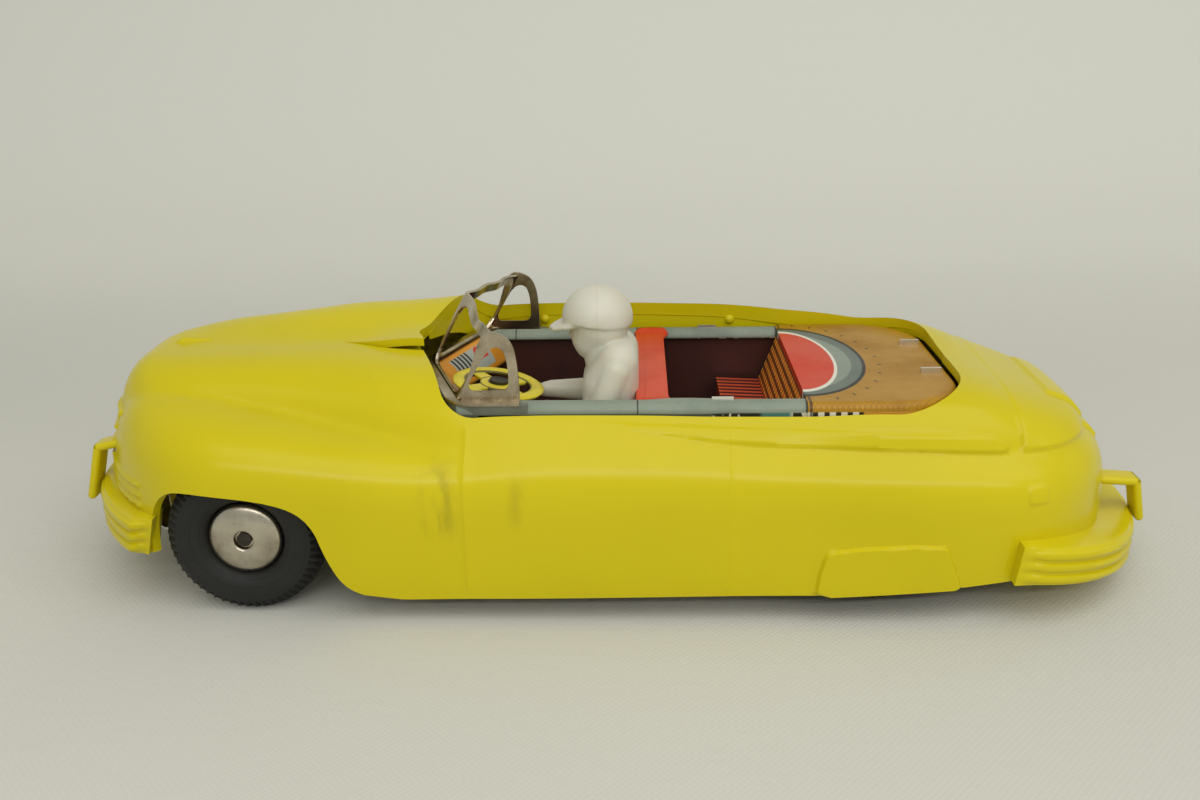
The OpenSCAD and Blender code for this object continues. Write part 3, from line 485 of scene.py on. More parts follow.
def shell_grid(along, around, grow):
    """The whole form, with stations closest together at its ends."""
    crowding = 0.1418
    bm = bmesh.new()
    bmesh.ops.create_grid(bm, x_segments=along, y_segments=around, size=0.5)
    rings = {}
    for v in bm.verts:
        share = v.co.x + 0.5
        key = round(share * along)
        if key not in rings:
            ease = share - crowding * math.sin(2 * math.pi * share)
            x = tail_x - grow + (nose_x - tail_x + 2 * grow) * ease
            rings[key] = (x, *section(x, grow))
        x, forms, blend = rings[key]
        angle = shell_angle(v.co.y + 0.5)
        r = section_radius(forms, blend, angle)
        v.co = (x, r * math.cos(angle), core_z + r * math.sin(angle))
    return bm


def deck_distance(co, grow=0):
    """How far a point lies inside the plan of the deck."""
    x, y = co.x, abs(co.y)
    lean = math.hypot(deck_half, apex_x - shoulder_x)
    ahead, aside = deck_half / lean, (apex_x - shoulder_x) / lean
    front = (apex_x - x) * ahead - y * aside
    inside = min(front, deck_half - y, x - deck_rear)
    corner_y = deck_half - deck_shoulder
    corner_x = apex_x - (corner_y * aside + deck_shoulder) / ahead
    out_x, out_y = x - corner_x, y - corner_y
    if out_y * ahead > out_x * aside and out_x > 0:
        inside = deck_shoulder - math.hypot(out_x, out_y)
    corner_x, corner_y = deck_rear + deck_corner, deck_half - deck_corner
    if x < corner_x and y > corner_y:
        inside = deck_corner - math.hypot(x - corner_x, y - corner_y)
    return inside + grow


lower_edge = [(tail_x - 10, 8.6), (rear_x - 27, 8.6), (rear_x - 17, plate_top + 1.3),
              (rear_x + 13, sill_z + 0.9), (front_x - 33, sill_z), (front_x + 19, front_bumper_z),
              (nose_x + 10, front_bumper_z)]
arch = rounded(rounded([(22, -20), (20.6, 10), (19.6, 21), (15.5, 27.6), (8, 28.6), (-9, 26.6), (-15.5, 22.6),
                        (-18, 14), (-21.5, 7.4), (-28, 5.2), (-34, -20)]))
spat = rounded([(rear_x + 10.6, 16.6), (rear_x - 11.9, 17.5), (rear_x - 13.6, 14.6), (rear_x - 17, 5),
                (rear_x + 13.8, 4), (rear_x + 12.4, 14)])
belt = [(10, 41.6), (-13, 40.6), (-34, 39.6), (-46, 39.2), (-74, 38), (-87, 37.2), (-90, 36), (-90.6, 34.8),
        (-89.4, 33.6), (-74, 34.4), (-46, 35.6), (-34, 36.6), (-13, 39.2), (10, 41.1)]
split_line = [(26, 7.1), (30.3, 6.5), (40.4, 5.4), (50, 2.8), (60, 0.8)]
key_at = (-87.0, 22.44)
key_hole = 3.1


def line_at(points, x):
    """A broken line read at x."""
    for (x0, z0), (x1, z1) in zip(points, points[1:]):
        if x <= x1:
            return z0 + (z1 - z0) * (x - x0) / (x1 - x0)
    return points[-1][1]


def bow(co):
    """The far half of the old shell has bowed upwards along the cockpit, and less along the bonnet."""
    rim_lift, bonnet_lift = 7.5, 1.9
    along = smooth(co.x, -105, -30) * (1 - smooth(co.x, 25, 95))
    rim = rim_lift * along * smooth(-co.y, -4, 27) * smooth(co.z, 12, 40)
    bonnet = bonnet_lift * smooth(100 - co.x, 0, 26) * smooth(co.x - 30, 0, 24)
    return rim + bonnet * smooth(-co.y, -6, 12) * smooth(co.z, 30, 44)


def open_shell(along, around, grow):
    """The shell's form with its lower edge, cockpit, wheel arches and key hole cut."""
    bm = shell_grid(along, around, grow)
    keep_where(bm, lambda co: co.z - line_at(lower_edge, co.x))
    keep_where(bm, lambda co: -deck_distance(co, opening_gap) if co.z > deck_z - 12 else 1)
    keep_where(bm, lambda co: 1 if abs(co.y) < 22 or abs(co.x - front_x) > 40
               else -inside_of(arch, co.x - front_x, co.z))
    keep_where(bm, lambda co: 1 if co.y > -20 else math.hypot(co.x - key_at[0], co.z - key_at[1]) - key_hole)
    return bm


def mould(bm):
    """Spats, belt mouldings, door lines, flap, grille bars, wing ribs, boot lid and tail panel."""
    emboss(bm, lambda co: inside_of(spat, co.x, co.z), 1.0, 0.5,
           lambda co: abs(co.y) > 25 and -90 < co.x < -45 and co.z < 22)
    emboss(bm, lambda co: inside_of(belt, co.x, co.z), lambda co: 0.65 * smooth(-co.x, -8, 44), 0.6,
           lambda co: abs(co.y) > 22 and -96 < co.x < 18 and 30 < co.z < 45)
    door_lines = (18.4, -34.3)
    for x in door_lines:
        emboss(bm, lambda co: min(0.35 - abs(co.x - x), co.z - 7, 39.6 - co.z), 0.15, 0.3,
               lambda co: abs(co.y) > 22 and abs(co.x - x) < 4)
    flap_x, flap_z = -95.2, 26.6
    emboss(bm, lambda co: min(2.25 - abs(co.x - flap_x), 1.95 - abs(co.z - flap_z)), 0.4, 0.5,
           lambda co: co.y > 20 and abs(co.x - flap_x) < 6 and abs(co.z - flap_z) < 6)
    grille_z, bar_step = 23.75, 3.2
    for k in range(5):
        emboss(bm, lambda co: min(0.75 - abs(co.z - grille_z - bar_step * k), 14 - abs(co.y)), 0.8, 0.5,
               lambda co: co.x > 88 and abs(co.z - grille_z - bar_step * k) < 3)
    wing_rib_z, rib_step = 22.6, 2.2
    for k in range(3):
        emboss(bm, lambda co: min(0.75 - abs(co.z - wing_rib_z - rib_step * k), abs(co.y) - 14, co.x - 86.5),
               0.6, 0.6,
               lambda co: co.x > 82 and abs(co.y) > 11 and abs(co.z - wing_rib_z - rib_step * k) < 3)
    lid_z, lid_x = 33.4, -92.5
    emboss(bm, lambda co: min(co.z - lid_z, lid_x - co.x), lambda co: 0.8 * (1 - smooth(co.z, 36, 46)), 0.7,
           lambda co: co.x < -84 and co.z > 30)
    emboss(bm, lambda co: min(13 - abs(co.y), co.z - 29, -103 - co.x), 0.6, 0.8,
           lambda co: co.x < -100 and co.z > 26 and abs(co.y) < 17)


def split_bonnet(bm):
    """The old split in the bonnet: the far side stands up, the near side has sunk a little."""
    def away(co):
        return co.y - line_at(split_line, co.x)

    def near(co):
        return 27 < co.x < 49.8 and co.z > 40 and abs(co.y) < 12

    slice_where(bm, away, near)
    line = {v for v in bm.verts if near(v.co) and abs(away(v.co)) < 1e-3}
    bmesh.ops.split_edges(bm, edges=[e for e in bm.edges if set(e.verts) <= line])
    for v in bm.verts:
        if v.co.z < 38 or not 22 < v.co.x < 75 or not v.link_faces:
            continue
        side = sum(away(f.calc_center_median()) for f in v.link_faces)
        gape = smooth(50 - v.co.x, 0, 18)
        reach, lift, shift = (14, 1.5, -1.2) if side < 0 else (16, -0.8, 0.2)
        gape *= 1 - smooth(abs(away(v.co)), 0, reach)
        v.co.z += lift * gape
        v.co.y += shift * gape


def body_skin(finish):
    """The shell's outer skin with its edges turned in, and its lining."""
    bm = open_shell(280, 236, 0)
    mould(bm)
    split_bonnet(bm)
    for v in bm.verts:
        v.co.z += bow(v.co)

    def inward(place, normal):
        at_rim = place.z > deck_z - 4 and abs(deck_distance(place, opening_gap)) < 0.05
        if at_rim and place.y < 2 and place.x < 32:
            return place - Vector((0, 0.5, wall + 1.15 * bow(place)))
        return place - normal * wall
    drop_lip(bm, [e for e in bm.edges if e.is_boundary], inward)
    make("body_shell_skin", bm, finish, "car", "yellow_plastic", "body_shell", angle=50)

    bm = open_shell(110, 90, -wall)
    for v in bm.verts:
        v.co.z += bow(v.co)
    bmesh.ops.reverse_faces(bm, faces=bm.faces)
    make("body_shell_lining", bm, finish, "car", "yellow_plastic", "body_shell", angle=60)


def plan_reach(middle, turn, z, grow):
    """Where a level ray from a point inside the form leaves it."""
    low, high = 0.0, 70.0
    for _ in range(26):
        r = (low + high) / 2
        x, y = middle + r * math.cos(turn), r * math.sin(turn)
        if tail_x - grow < x < nose_x + grow:
            forms, blend = section(x, grow)
            angle = math.atan2(z - core_z, y)
            within = math.hypot(y, z - core_z) < section_radius(forms, blend, angle)
        else:
            within = False
        low, high = (r, high) if within else (low, r)
    return low


def bumper(name, finish, middle, facing, foot, height, shift, lean, rise, ends):
    """A ribbed band that follows the plan of the body round one end.

    lean moves its top and its foot along the car, rise lifts its ends, and ends is how far they stand out.
    The rear band returns further in and has an upstand that closes the tail.
    """
    deep, upstand = (-3, 1) if facing > 0 else (-7.5, 1.5)
    bands = [(upstand, deep), (1, deep), (1, 1.9), (0.98, 2.7), (0.9, 3.1)]
    for k in (2, 1, 0):
        rib = 0.12 + 0.3 * k
        bands += [(rib + 0.19, 3.0), (rib + 0.16, 3.45), (rib + 0.08, 3.65), (rib, 3.45), (rib - 0.03, 3.0)]
    bands += [(0.04, 2.9), (0, 2.3), (0, deep)]
    steps = 150

    def spot(u, v):
        share, out = bands[round(v * (len(bands) - 1))]
        column = round(u * steps)
        if column in (0, steps):
            out = deep
        elif out > 0:
            out = ends + (out - ends) * smooth(min(u, 1 - u), 0.004, 0.05)
        start = middle - shift + facing * (lean[0] * share + lean[1] * (1 - share))
        turn = math.pi * ((min(steps - 1, max(1, column)) - 1) / (steps - 2) - 0.5)
        level = foot + height * share + rise * smooth(abs(2 * u - 1), 0.35, 1)
        if facing < 0:
            turn = math.pi - turn
        reach = plan_reach(start, turn, level, out)
        return start + reach * math.cos(turn) + shift, reach * math.sin(turn), level
    bm = outward(strip(steps, len(bands) - 1, spot))
    make(name, bm, finish, "car", "yellow_plastic", "body_shell", angle=40)


def fittings(finish):
    """Bonnet ornament, lamps, tail plate, bumper guards, screw posts and rim bosses."""
    def add(name, bm):
        make(name, bm, finish, "car", "yellow_plastic", "body_shell")

    plate_lamp_z = rear_bumper_z + 20
    hulls = {
        "bonnet_ornament": [(((89, 0, 47), 1.2), ((86, 0, 48.3), 1.6), ((80, 0, 48.9), 0.7))],
        "head_lamps": [(((84.2, 23.4 * s, 36.4), 4.6), ((85.9, 23 * s, 35.8), 4.2)) for s in (-1, 1)],
        "tail_plate": [[((x, 8 * s, z), 1.0) for s in (-1, 1) for x, z in ((-118.2, 17.6), (-118.6, 11))]],
        "plate_lamp": [[((tail_x + 2, 3 * s, plate_lamp_z), 1.6) for s in (-1, 1)]]}
    for name, y, path in (("front_guards", 12, ((97, 30), (103.2, 28.6), (106.2, 17.2))),
                          ("rear_guards", 14.5, ((-115, 21), (-123.4, 20.4), (-125, 12.2)))):
        hulls[name] = [tuple(((x, y * s + d, z), 0.9) for x, z in pair for d in (-1.8, 1.8))
                       for s in (-1, 1) for pair in zip(path, path[1:])]
    for name, group in hulls.items():
        add(name, joined(*[hull_of(*balls) for balls in group]))
    posts = bmesh.new()
    for x, low, high in ((86, 11.6, 44), (-108, 6.1, 33)):
        for y in (-13, 13):
            bmesh.ops.create_cone(posts, cap_ends=True, segments=28, radius1=3, radius2=3, depth=high - low,
                                  matrix=Matrix.Translation((x, y, (low + high) / 2)))
    add("screw_posts", posts)
    bosses = [hull_of(((x, -31.2, z), 1.3), ((x, -33, z), 1.6)) for x, z in ((6.8, 44.9), (-39.2, 44.4))]
    add("rim_bosses", joined(*bosses))


# Tin deck, rails and strip

def deck_plate(finish):
    """The rear deck and the apron under the windscreen, with their rolled and turned-down edge."""
    roll, rim = 1.5, 0.7
    bm = strip(200, 104, lambda u, v: (deck_rear - 1.2 + u * 116, (v - 0.5) * 61, deck_z))

    def plate(co):
        return max(-50.3 - co.x, min(co.x - 6, 1.3 - deck_distance(co)))
    keep_where(bm, lambda co: deck_distance(co, rim if co.x < 0 else 0))
    keep_where(bm, plate)
    for level in (0.05, 0.2, 0.4, 0.75, roll):
        slice_where(bm, lambda co: deck_distance(co, rim) - level)
    for v in bm.verts:
        left = max(0, roll - max(0, deck_distance(v.co, rim)))
        v.co.z -= (roll - math.sqrt(roll * roll - left * left)) * (1 - smooth(v.co.x, 18, 22))
    edge = [e for e in bm.edges if e.is_boundary]
    drop_lip(bm, edge, lambda place, normal: Vector((place.x, place.y, min(place.z - 0.6, deck_z - 3))))
    make("deck_plate", outward(bm), finish, "car", "printed_tin", "interior_deck", angle=50)


def deck_rails(finish):
    """Half-round rails along both sides of the cockpit, each with its turned-down outer edge."""
    rail_y, radius, rolled, edge = 27, 2.25, 0.86, 1.6
    rail_z = deck_z - radius
    parts = []
    for s in (-1, 1):
        def spot(u, v):
            x = -50.6 + 71.2 * u
            swell = 0.3 * smooth(x, -37, -26) * (1 - smooth(x, -24, -15.8)) if s > 0 else 0
            r = radius + swell
            if v < rolled:
                turn = math.pi * (1 - v / rolled)
                return x, s * (rail_y + r * math.cos(turn)), rail_z + r * math.sin(turn)
            return x, s * (rail_y + r), rail_z - edge * (v - rolled) / (1 - rolled)
        parts.append(strip(150, 22, spot))
    bm = outward(joined(*parts))
    sheet_metal(make("deck_rails", bm, finish, "car", "printed_tin", "interior_deck", angle=50), 0.4)


def seat_strip(finish):
    """The red strip over the front seat back, flared where it meets the rails."""
    def spot(u, v):
        y = (v - 0.5) * 53
        half = 2.95 + 1.2 * smooth(abs(y), 20.5, 25.5)
        rail = max(0, 1 - max(0, 27.6 - abs(y)) / 3.2) ** 0.5
        side = 2 * u - 1
        sag = 0.9 * abs(side) ** 5
        return -19.7 + side * half, y, deck_z - 0.35 + 0.75 * rail - sag
    bm = outward(strip(26, 90, spot))
    sheet_metal(make("seat_strip", bm, finish, "car", "red_tin", angle=60), 0.35)


def dash_panel(finish):
    """The dashboard: a V of sloping tin under the windscreen."""
    def spot(u, v):
        y = (u - 0.5) * 49
        front = apex_x - 1.9 - 0.342 * abs(y)
        return front - 5.2 * v - 0.8 * math.sin(math.pi * v), y, deck_z - 0.25 - 7.2 * v ** 1.25
    bm = strip(90, 14, spot)
    facing_to(bm, Vector((0, 0, 1)))
    sheet_metal(make("dash_panel", bm, finish, "car", "dash_tin", "dashboard", angle=40), 0.4)


# Windscreen

screen_foot = Vector((apex_x - 1.4, 0, deck_z))
screen_corner = Vector((shoulder_x - 1, 27, deck_z))
screen_peak = screen_foot + Vector((-9, 0, 16))
quarter_rear = Vector((shoulder_x - 14, 27, deck_z))


def pane_axes(a, b, c):
    """Axes of a flat pane through three points: along its foot and up its face."""
    along = (b - a).normalized()
    out = along.cross(c - a).normalized()
    return along, out.cross(along)


def flat_pane(outline, window, corner, axes, size, side):
    """A pane with its window cut out, set into its plane and a little wavy."""
    cell = 0.35
    along, up = axes
    bm = strip(int(size[0] / cell), int(size[1] / cell), lambda u, v: (u * size[0] - 1, v * size[1] - 1, 0))
    keep_where(bm, lambda co: inside_of(outline, co.x, co.y))
    keep_where(bm, lambda co: -inside_of(window, co.x, co.y))
    for v in bm.verts:
        wave = 0.25 * math.sin(v.co.x * 0.55 + 0.6) * smooth(v.co.y, 4, 14)
        place = corner + along * v.co.x + up * v.co.y
        place += along.cross(up) * wave
        v.co = (place.x, side * place.y, max(place.z, deck_z + 0.02))
    return bm


def windscreen(finish):
    """Two front panes, two quarter lights and a foot strip; the near top rail is bent."""
    axes = pane_axes(screen_foot, screen_corner, screen_peak)
    along, up = axes
    length = (screen_corner - screen_foot).length
    peak = ((screen_peak - screen_foot).dot(along), (screen_peak - screen_foot).dot(up))
    top = (length + 2.2, peak[1] - 2.4)
    pillar = screen_foot + along * top[0] + up * top[1]

    def front_pane(*drops):
        """Outline and window of a front pane, its top rail lowered by three drops."""
        bends = [(peak[0] + (top[0] - peak[0]) * share, peak[1] + (top[1] - peak[1]) * share - drop)
                 for share, drop in zip((0.74, 0.52, 0.34), drops)]
        window = [(0.9, 0.9), (length * 0.3, 0.8), (length * 0.7, 0.8), (length - 0.9, 0.9),
                  (length + 0.2, top[1] * 0.5), (top[0] - 1.9, top[1] - 2.2),
                  *[(u, v - 2.1) for u, v in bends],
                  (peak[0] + 0.9, peak[1] - 2.2), (peak[0] * 0.5 + 0.8, peak[1] * 0.5)]
        return [(0, 0), (length, 0), top, *bends, peak], rounded(rounded(window))

    rear_axes = pane_axes(screen_corner, quarter_rear, pillar)
    rear = (quarter_rear - screen_corner).length
    head, height = [(pillar - screen_corner).dot(axis) for axis in rear_axes]
    quarter = rounded([(0, 0), (4, 0), (rear - 1, 0), (rear - 0.2, 0), (rear - 0.25, 3), (rear - 0.4, 7),
                       (rear - 0.9, 10.6), (rear - 2, 12.9), (rear - 3.8, 14.1), (head - 0.3, height + 0.7),
                       (head - 1.8, height + 0.2), (head - 3, height - 1.8), (2.4, 5)])
    light = rounded(rounded([(1.7, 2.2), (6, 2.2), (rear - 2.4, 2.2), (rear - 2.3, 6), (rear - 2.7, 9.6),
                             (rear - 3.8, 11.4), (rear - 6, 11.2), (4.2, 7)]))
    parts = []
    for side, pane in ((1, front_pane(0.3, 1.4, -0.1)), (-1, front_pane(-0.1, -0.2, -0.1))):
        parts += [flat_pane(*pane, screen_foot, axes, (length + 6, peak[1] + 2), side),
                  flat_pane(quarter, light, screen_corner, rear_axes, (rear + 2, height + 3), side)]
    foot = strip(70, 170, lambda u, v: (7.6 + 24.6 * u, 60 * (v - 0.5), deck_z + 0.15))
    keep_where(foot, lambda co: min(deck_distance(co, 0.5), 2.4 - deck_distance(co)))
    bm = outward(joined(*parts, foot))
    piece = make("windscreen_frame", bm, finish, "car", "nickel", "windscreen", angle=40)
    sheet_metal(piece, 0.7, 0)
    soft_edges(piece, 0.16, 2, 60)


# Figure, steering wheel and wheels

def driver(finish):
    """A plain moulded figure with a cap, seated with both arms forward."""
    place = Vector((-7.7, 13.2, 24))

    def ball(x, y, z, r):
        return place + Vector((x, y, z)), r
    trunk = [ball(x, s * y, z, r) for s in (-1, 1)
             for x, y, z, r in ((-2.4, 3.2, 5.9, 5.4), (-2.8, 4.0, 19.0, 6.0), (-4.5, 5.4, 24.9, 4.3))]
    parts = [
        hull_of(*trunk),
        hull_of(ball(-2.2, 0, 21.5, 4.5), ball(-1.7, 0, 28, 5.0)),
        hull_of(ball(-0.8, 0, 32, 6.1), ball(0.9, 0, 29, 4.5), ball(2.3, 0, 26.4, 2.0)),
        hull_of(ball(4.7, 0, 31.2, 0.6), ball(5.2, 0, 29.9, 0.8)),
        hull_of(ball(3.5, 0, 26.4, 1.0), ball(3.1, 1.1, 26.4, 0.8), ball(3.1, -1.1, 26.4, 0.8))]
    for s in (-1, 1):
        parts += [
            hull_of(ball(-4, 7.2 * s, 23.6, 3.3), ball(-0.4, 9 * s, 14.2, 2.8)),
            hull_of(ball(-0.4, 9 * s, 14.2, 2.8), ball(10.4, 6.7 * s, 15.2, 1.9)),
            hull_of(ball(10.4, 6.7 * s, 15.2, 1.9), ball(12, 6.2 * s, 15.2, 1.6)),
            hull_of(ball(0, 4.2 * s, 4.8, 4.2), ball(15.6, 4.6 * s, 4.6, 3.7)),
            hull_of(ball(15.6, 4.6 * s, 4.6, 3.7), ball(17, 4.6 * s, -14.9, 2.6))]
    cap = bmesh.new()
    crown = Matrix.Translation(place + Vector((-0.2, 0, 33.2))) @ Matrix.Diagonal((1.08, 1, 1.02, 1))
    bmesh.ops.create_uvsphere(cap, u_segments=48, v_segments=28, radius=6.95, matrix=crown)
    bmesh.ops.bisect_plane(cap, geom=cap.verts[:] + cap.edges[:] + cap.faces[:],
                           plane_co=place + Vector((0, 0, 32.4)), plane_no=(-0.1, 0, 1), clear_inner=True)
    bmesh.ops.holes_fill(cap, edges=[e for e in cap.edges if e.is_boundary])
    peak = [ball(x, y * s, z, r) for x, y, z, r in
            ((3, 4.8, 32.9, 0.55), (6.3, 4.2, 32.1, 0.5), (8.9, 2.5, 31.3, 0.45)) for s in (-1, 1)]
    peak.append(ball(9.7, 0, 31.2, 0.45))
    bm = joined(*parts, cap, hull_of(*peak, parts=8))
    piece = make("driver_figure", bm, finish, "car", "white_plastic", "driver", angle=180)
    skin = piece.modifiers.new("one skin", "REMESH")
    skin.mode = "VOXEL"
    skin.voxel_size = 0.32 * MM
    skin.use_smooth_shade = True
    soft = piece.modifiers.new("moulded", "SMOOTH")
    soft.factor = 0.5
    soft.iterations = 5


steering_at = Vector((13.6, 14.4, 42.4))


def steering_wheel(finish):
    """A stamped wheel: rim, boss and four spokes, square to the leaning column."""
    lean = math.radians(10)
    side = Vector((math.cos(lean), 0, math.sin(lean)))
    up = Vector((-math.sin(lean), 0, math.cos(lean)))
    rim, inner, boss, bore, half_spoke = 9.8, 6.8, 4, 1.12, 1.3

    def field(co):
        r = math.hypot(co.x, co.y)
        spoke = min(abs(co.x - co.y), abs(co.x + co.y)) / math.sqrt(2)
        return min(rim - r, max(r - inner, boss - r, half_spoke - spoke), r - bore)
    bm = strip(120, 120, lambda u, v: (20 * (u - 0.5), 20 * (v - 0.5), 0))
    keep_where(bm, field)
    for v in bm.verts:
        r = math.hypot(v.co.x, v.co.y)
        crown = 0.55 * (1 - ((r - 8.3) / 1.5) ** 2) if r > inner else 0.25 * smooth(boss - r, 0, 1.5)
        v.co = steering_at + side * v.co.x + Vector((0, 1, 0)) * v.co.y + up * (0.75 + max(0, crown))
    facing_to(bm, up)
    sheet_metal(make("steering_rim", bm, finish, "steering", "yellow_tin", "steering_wheel", angle=40), 0.75)


def tyre(name, x, y, side, body, finish):
    """A tyre of squarish section with notched shoulders."""
    notches, around, square = 56, 56, 2 / 2.5
    middle, half_high, half_wide = 12.1, 4.4, 4.3

    def spot(u, v):
        turn, a = 2 * math.pi * u, 2 * math.pi * v
        c, s = math.cos(a), math.sin(a)
        r = middle + half_high * math.copysign(abs(c) ** square, c)
        w = half_wide * math.copysign(abs(s) ** square, s)
        cut = smooth(math.sin(turn * notches), -0.25, 0.25)
        shoulder = smooth(r, 13.9, 14.7) * smooth(abs(w), 1.6, 2.2)
        r -= 0.55 * cut * shoulder
        w -= math.copysign(0.35 * cut * shoulder, w)
        return x + r * math.cos(turn), y + side * w, wheel_z + r * math.sin(turn)
    bm = strip(notches * 6, around, spot)
    bmesh.ops.remove_doubles(bm, verts=bm.verts, dist=1e-4)
    make(name + "_rubber", outward(bm), finish, body, "rubber", name, angle=38)


def hub(name, x, y, side, body, finish):
    """A domed wheel disc with a sunk middle."""
    face, back = 4.0, 3.8
    profile = [(1.5, -back), (6.9, -back), (7.7, -back + 0.8), (7.7, face - 1.9), (7.55, face - 1.4),
               (7.1, face - 0.95), (6.6, face - 0.72), (6.0, face - 0.5), (5.2, face - 0.28),
               (4.2, face - 0.1), (3.2, face), (2.6, face), (2.35, face - 0.06), (2.1, face - 0.2),
               (1.95, face - 0.5), (1.92, face - 1.4), (1.5, face - 1.4)]
    bm = spun(profile, 96, (x, y, wheel_z), side)
    make(name + "_dome", bm, finish, body, "nickel", name, angle=45)


# Finishes

def yellow_plastic():
    """Gloss yellow with faint clouds, grime and two rubbed places on the near flank."""
    finish = Finish("yellow plastic", Specular_IOR_Level=0.25)
    x, y, z = finish.place()
    cloud = finish.noise(16, 4)
    yellow = finish.mix(finish.rise(cloud, 0.3, 0.7), (205, 188, 12), (212, 195, 18))
    grime = finish.noise(55, 6, 0.65)
    smear = finish.noise(300, 3, 0.6, finish.spot(x * 0.001, y * 0.001, z * 0.00025))
    left = finish.rise(y, 20, 24)
    rub = finish.band(x, 20.5, 26.5, 2.0) * finish.band(z, 20, 33, 3)
    rub = rub + finish.band(x, 6.5, 9.5, 1.5) * finish.band(z, 22, 31, 3) * 0.6
    rub = rub * left * finish.rise(smear, 0.4, 0.62)
    soil = finish.high(rub * 0.3, finish.rise(grime, 0.6, 0.85) * 0.1)
    base = finish.mix(soil, yellow, (96, 88, 34))
    scratch = finish.noise(90, 2, 0.4, finish.spot(x * 0.0008, y * 0.004, z * 0.012))
    gloss = 0.2 + finish.noise(60, 4) * 0.1 + rub * 0.15
    finish.feed(Base_Color=base, Roughness=gloss)
    return finish.relief(scratch + finish.noise(420, 2) * 0.25, 0.05, 0.08 * MM)


def white_plastic():
    """Off-white with a mould seam."""
    finish = Finish("white plastic", Specular_IOR_Level=0.5, Subsurface_Weight=0.25,
                    Subsurface_Scale=1.5 * MM)
    x = finish.place()[0]
    tone = finish.mix(finish.rise(finish.noise(70, 4), 0.35, 0.7), (204, 200, 178), (211, 207, 190))
    seam = finish.band(x, -8.05, -7.85)
    finish.feed(Base_Color=finish.mix(seam * 0.35, tone, (190, 182, 160)),
                Roughness=0.34 + finish.noise(120, 3) * 0.12)
    return finish.relief(finish.noise(500, 2), 0.06)


def printed_tin():
    """Ochre rear deck: a fine cross-hatch, a red D, a grey mesh crescent and a row of dots."""
    finish = Finish("printed tin", Specular_IOR_Level=0.3)
    x, y, z = finish.place()
    stain = finish.stain(70)
    pitch = 1.1
    hatch = finish.high(finish.rise(finish.comb(x + y, pitch), 0.3, 0.5),
                        finish.rise(finish.comb(x - y, pitch), 0.3, 0.5))
    back = -50.4 - x
    red = finish.length(back / 9.2, y / 21)
    crescent = finish.length(back / 15.5, y / 24.3)
    mesh = finish.rise(finish.comb(x, 0.6) + finish.comb(y, 0.6), 0.3, 0.7)
    grey = finish.mix(finish.rise(crescent, 0.83, 0.86), (132, 144, 130), (104, 116, 106))
    grey = finish.mix(mesh * 0.3 * finish.rise(crescent, 0.84, 0.86), grey, (60, 62, 56))
    row_back, row_side = back / 19.2, y / 28.2
    bead = finish.comb(finish.math("ARCTAN2", row_back, row_side), 1 / 4.6) * 8.8
    ring = (finish.length(row_back, row_side) - 1) * 20
    dot = finish.fall(finish.length(bead, ring), 0.42, 0.56)
    apron = finish.rise(x, 0, 1)
    under = finish.fall(z, 41.6, 41.8) * (1 - apron)
    checks = finish.mix(finish.rise(finish.comb(x, 2.3), 0.2, 0.26), (36, 32, 28), (214, 208, 186))
    edge = finish.band(x, -51.2, -50.6, 0.1) * (1 - apron) * finish.rise(abs(y), 24, 24.4)
    colour = finish.coats(
        finish.mix(stain, (184, 136, 22), (160, 112, 14)),
        (hatch * 0.45, (120, 80, 30)),
        (finish.fall(crescent, 1.035, 1.05), (34, 30, 26)),
        (finish.fall(crescent, 0.985, 1.0), grey),
        (finish.fall(red, 1.06, 1.08), (226, 222, 204)),
        (finish.fall(red, 0.99, 1.01), (206, 58, 28)),
        (dot * finish.rise(back, 2.5, 3), (46, 34, 24)),
        (apron, finish.mix(stain, (122, 126, 112), (84, 86, 76))),
        (under, finish.mix(finish.rise(x, -61.5, -61.2), (196, 142, 52), checks)),
        (edge * 0.8, (40, 32, 26)))
    finish.feed(Base_Color=colour, Roughness=0.3 + stain * 0.16)
    return finish.relief(hatch + finish.noise(160, 4), 0.1)


def rail_tin():
    """Grey-green varnished rails with dark joints and a small two-tone border on the turned-down edge."""
    finish = Finish("rail tin", Specular_IOR_Level=0.3)
    x, _, z = finish.place()
    stain = finish.stain(80)
    joints = [finish.band(x, at - 0.16, at + 0.16, 0.08) * 0.85 for at in (13.6, -16.2, -50.1)]
    dirt = finish.rise(finish.noise(34, 5, 0.7), 0.58, 0.75)
    run = finish.rise(finish.noise(360, 2), 0.46, 0.5)
    tile = finish.rise(finish.comb(x, 3.1), 0.2, 0.24)
    border = finish.coats(
        finish.mix(run * tile, (40, 42, 38), (210, 206, 186)),
        (finish.band(x, -47, -41, 0.6), (74, 122, 118)),
        (finish.rise(x, -31.5, -31), (80, 84, 74)))
    colour = finish.coats(
        finish.mix(stain, (136, 146, 128), (112, 121, 106)),
        *[(joint, (38, 36, 32)) for joint in joints],
        (dirt * 0.25, (86, 82, 66)),
        (finish.fall(z, 41.25, 41.5), border))
    return finish.feed(Base_Color=colour, Roughness=0.3 + stain * 0.15).relief(finish.noise(120, 4), 0.12)


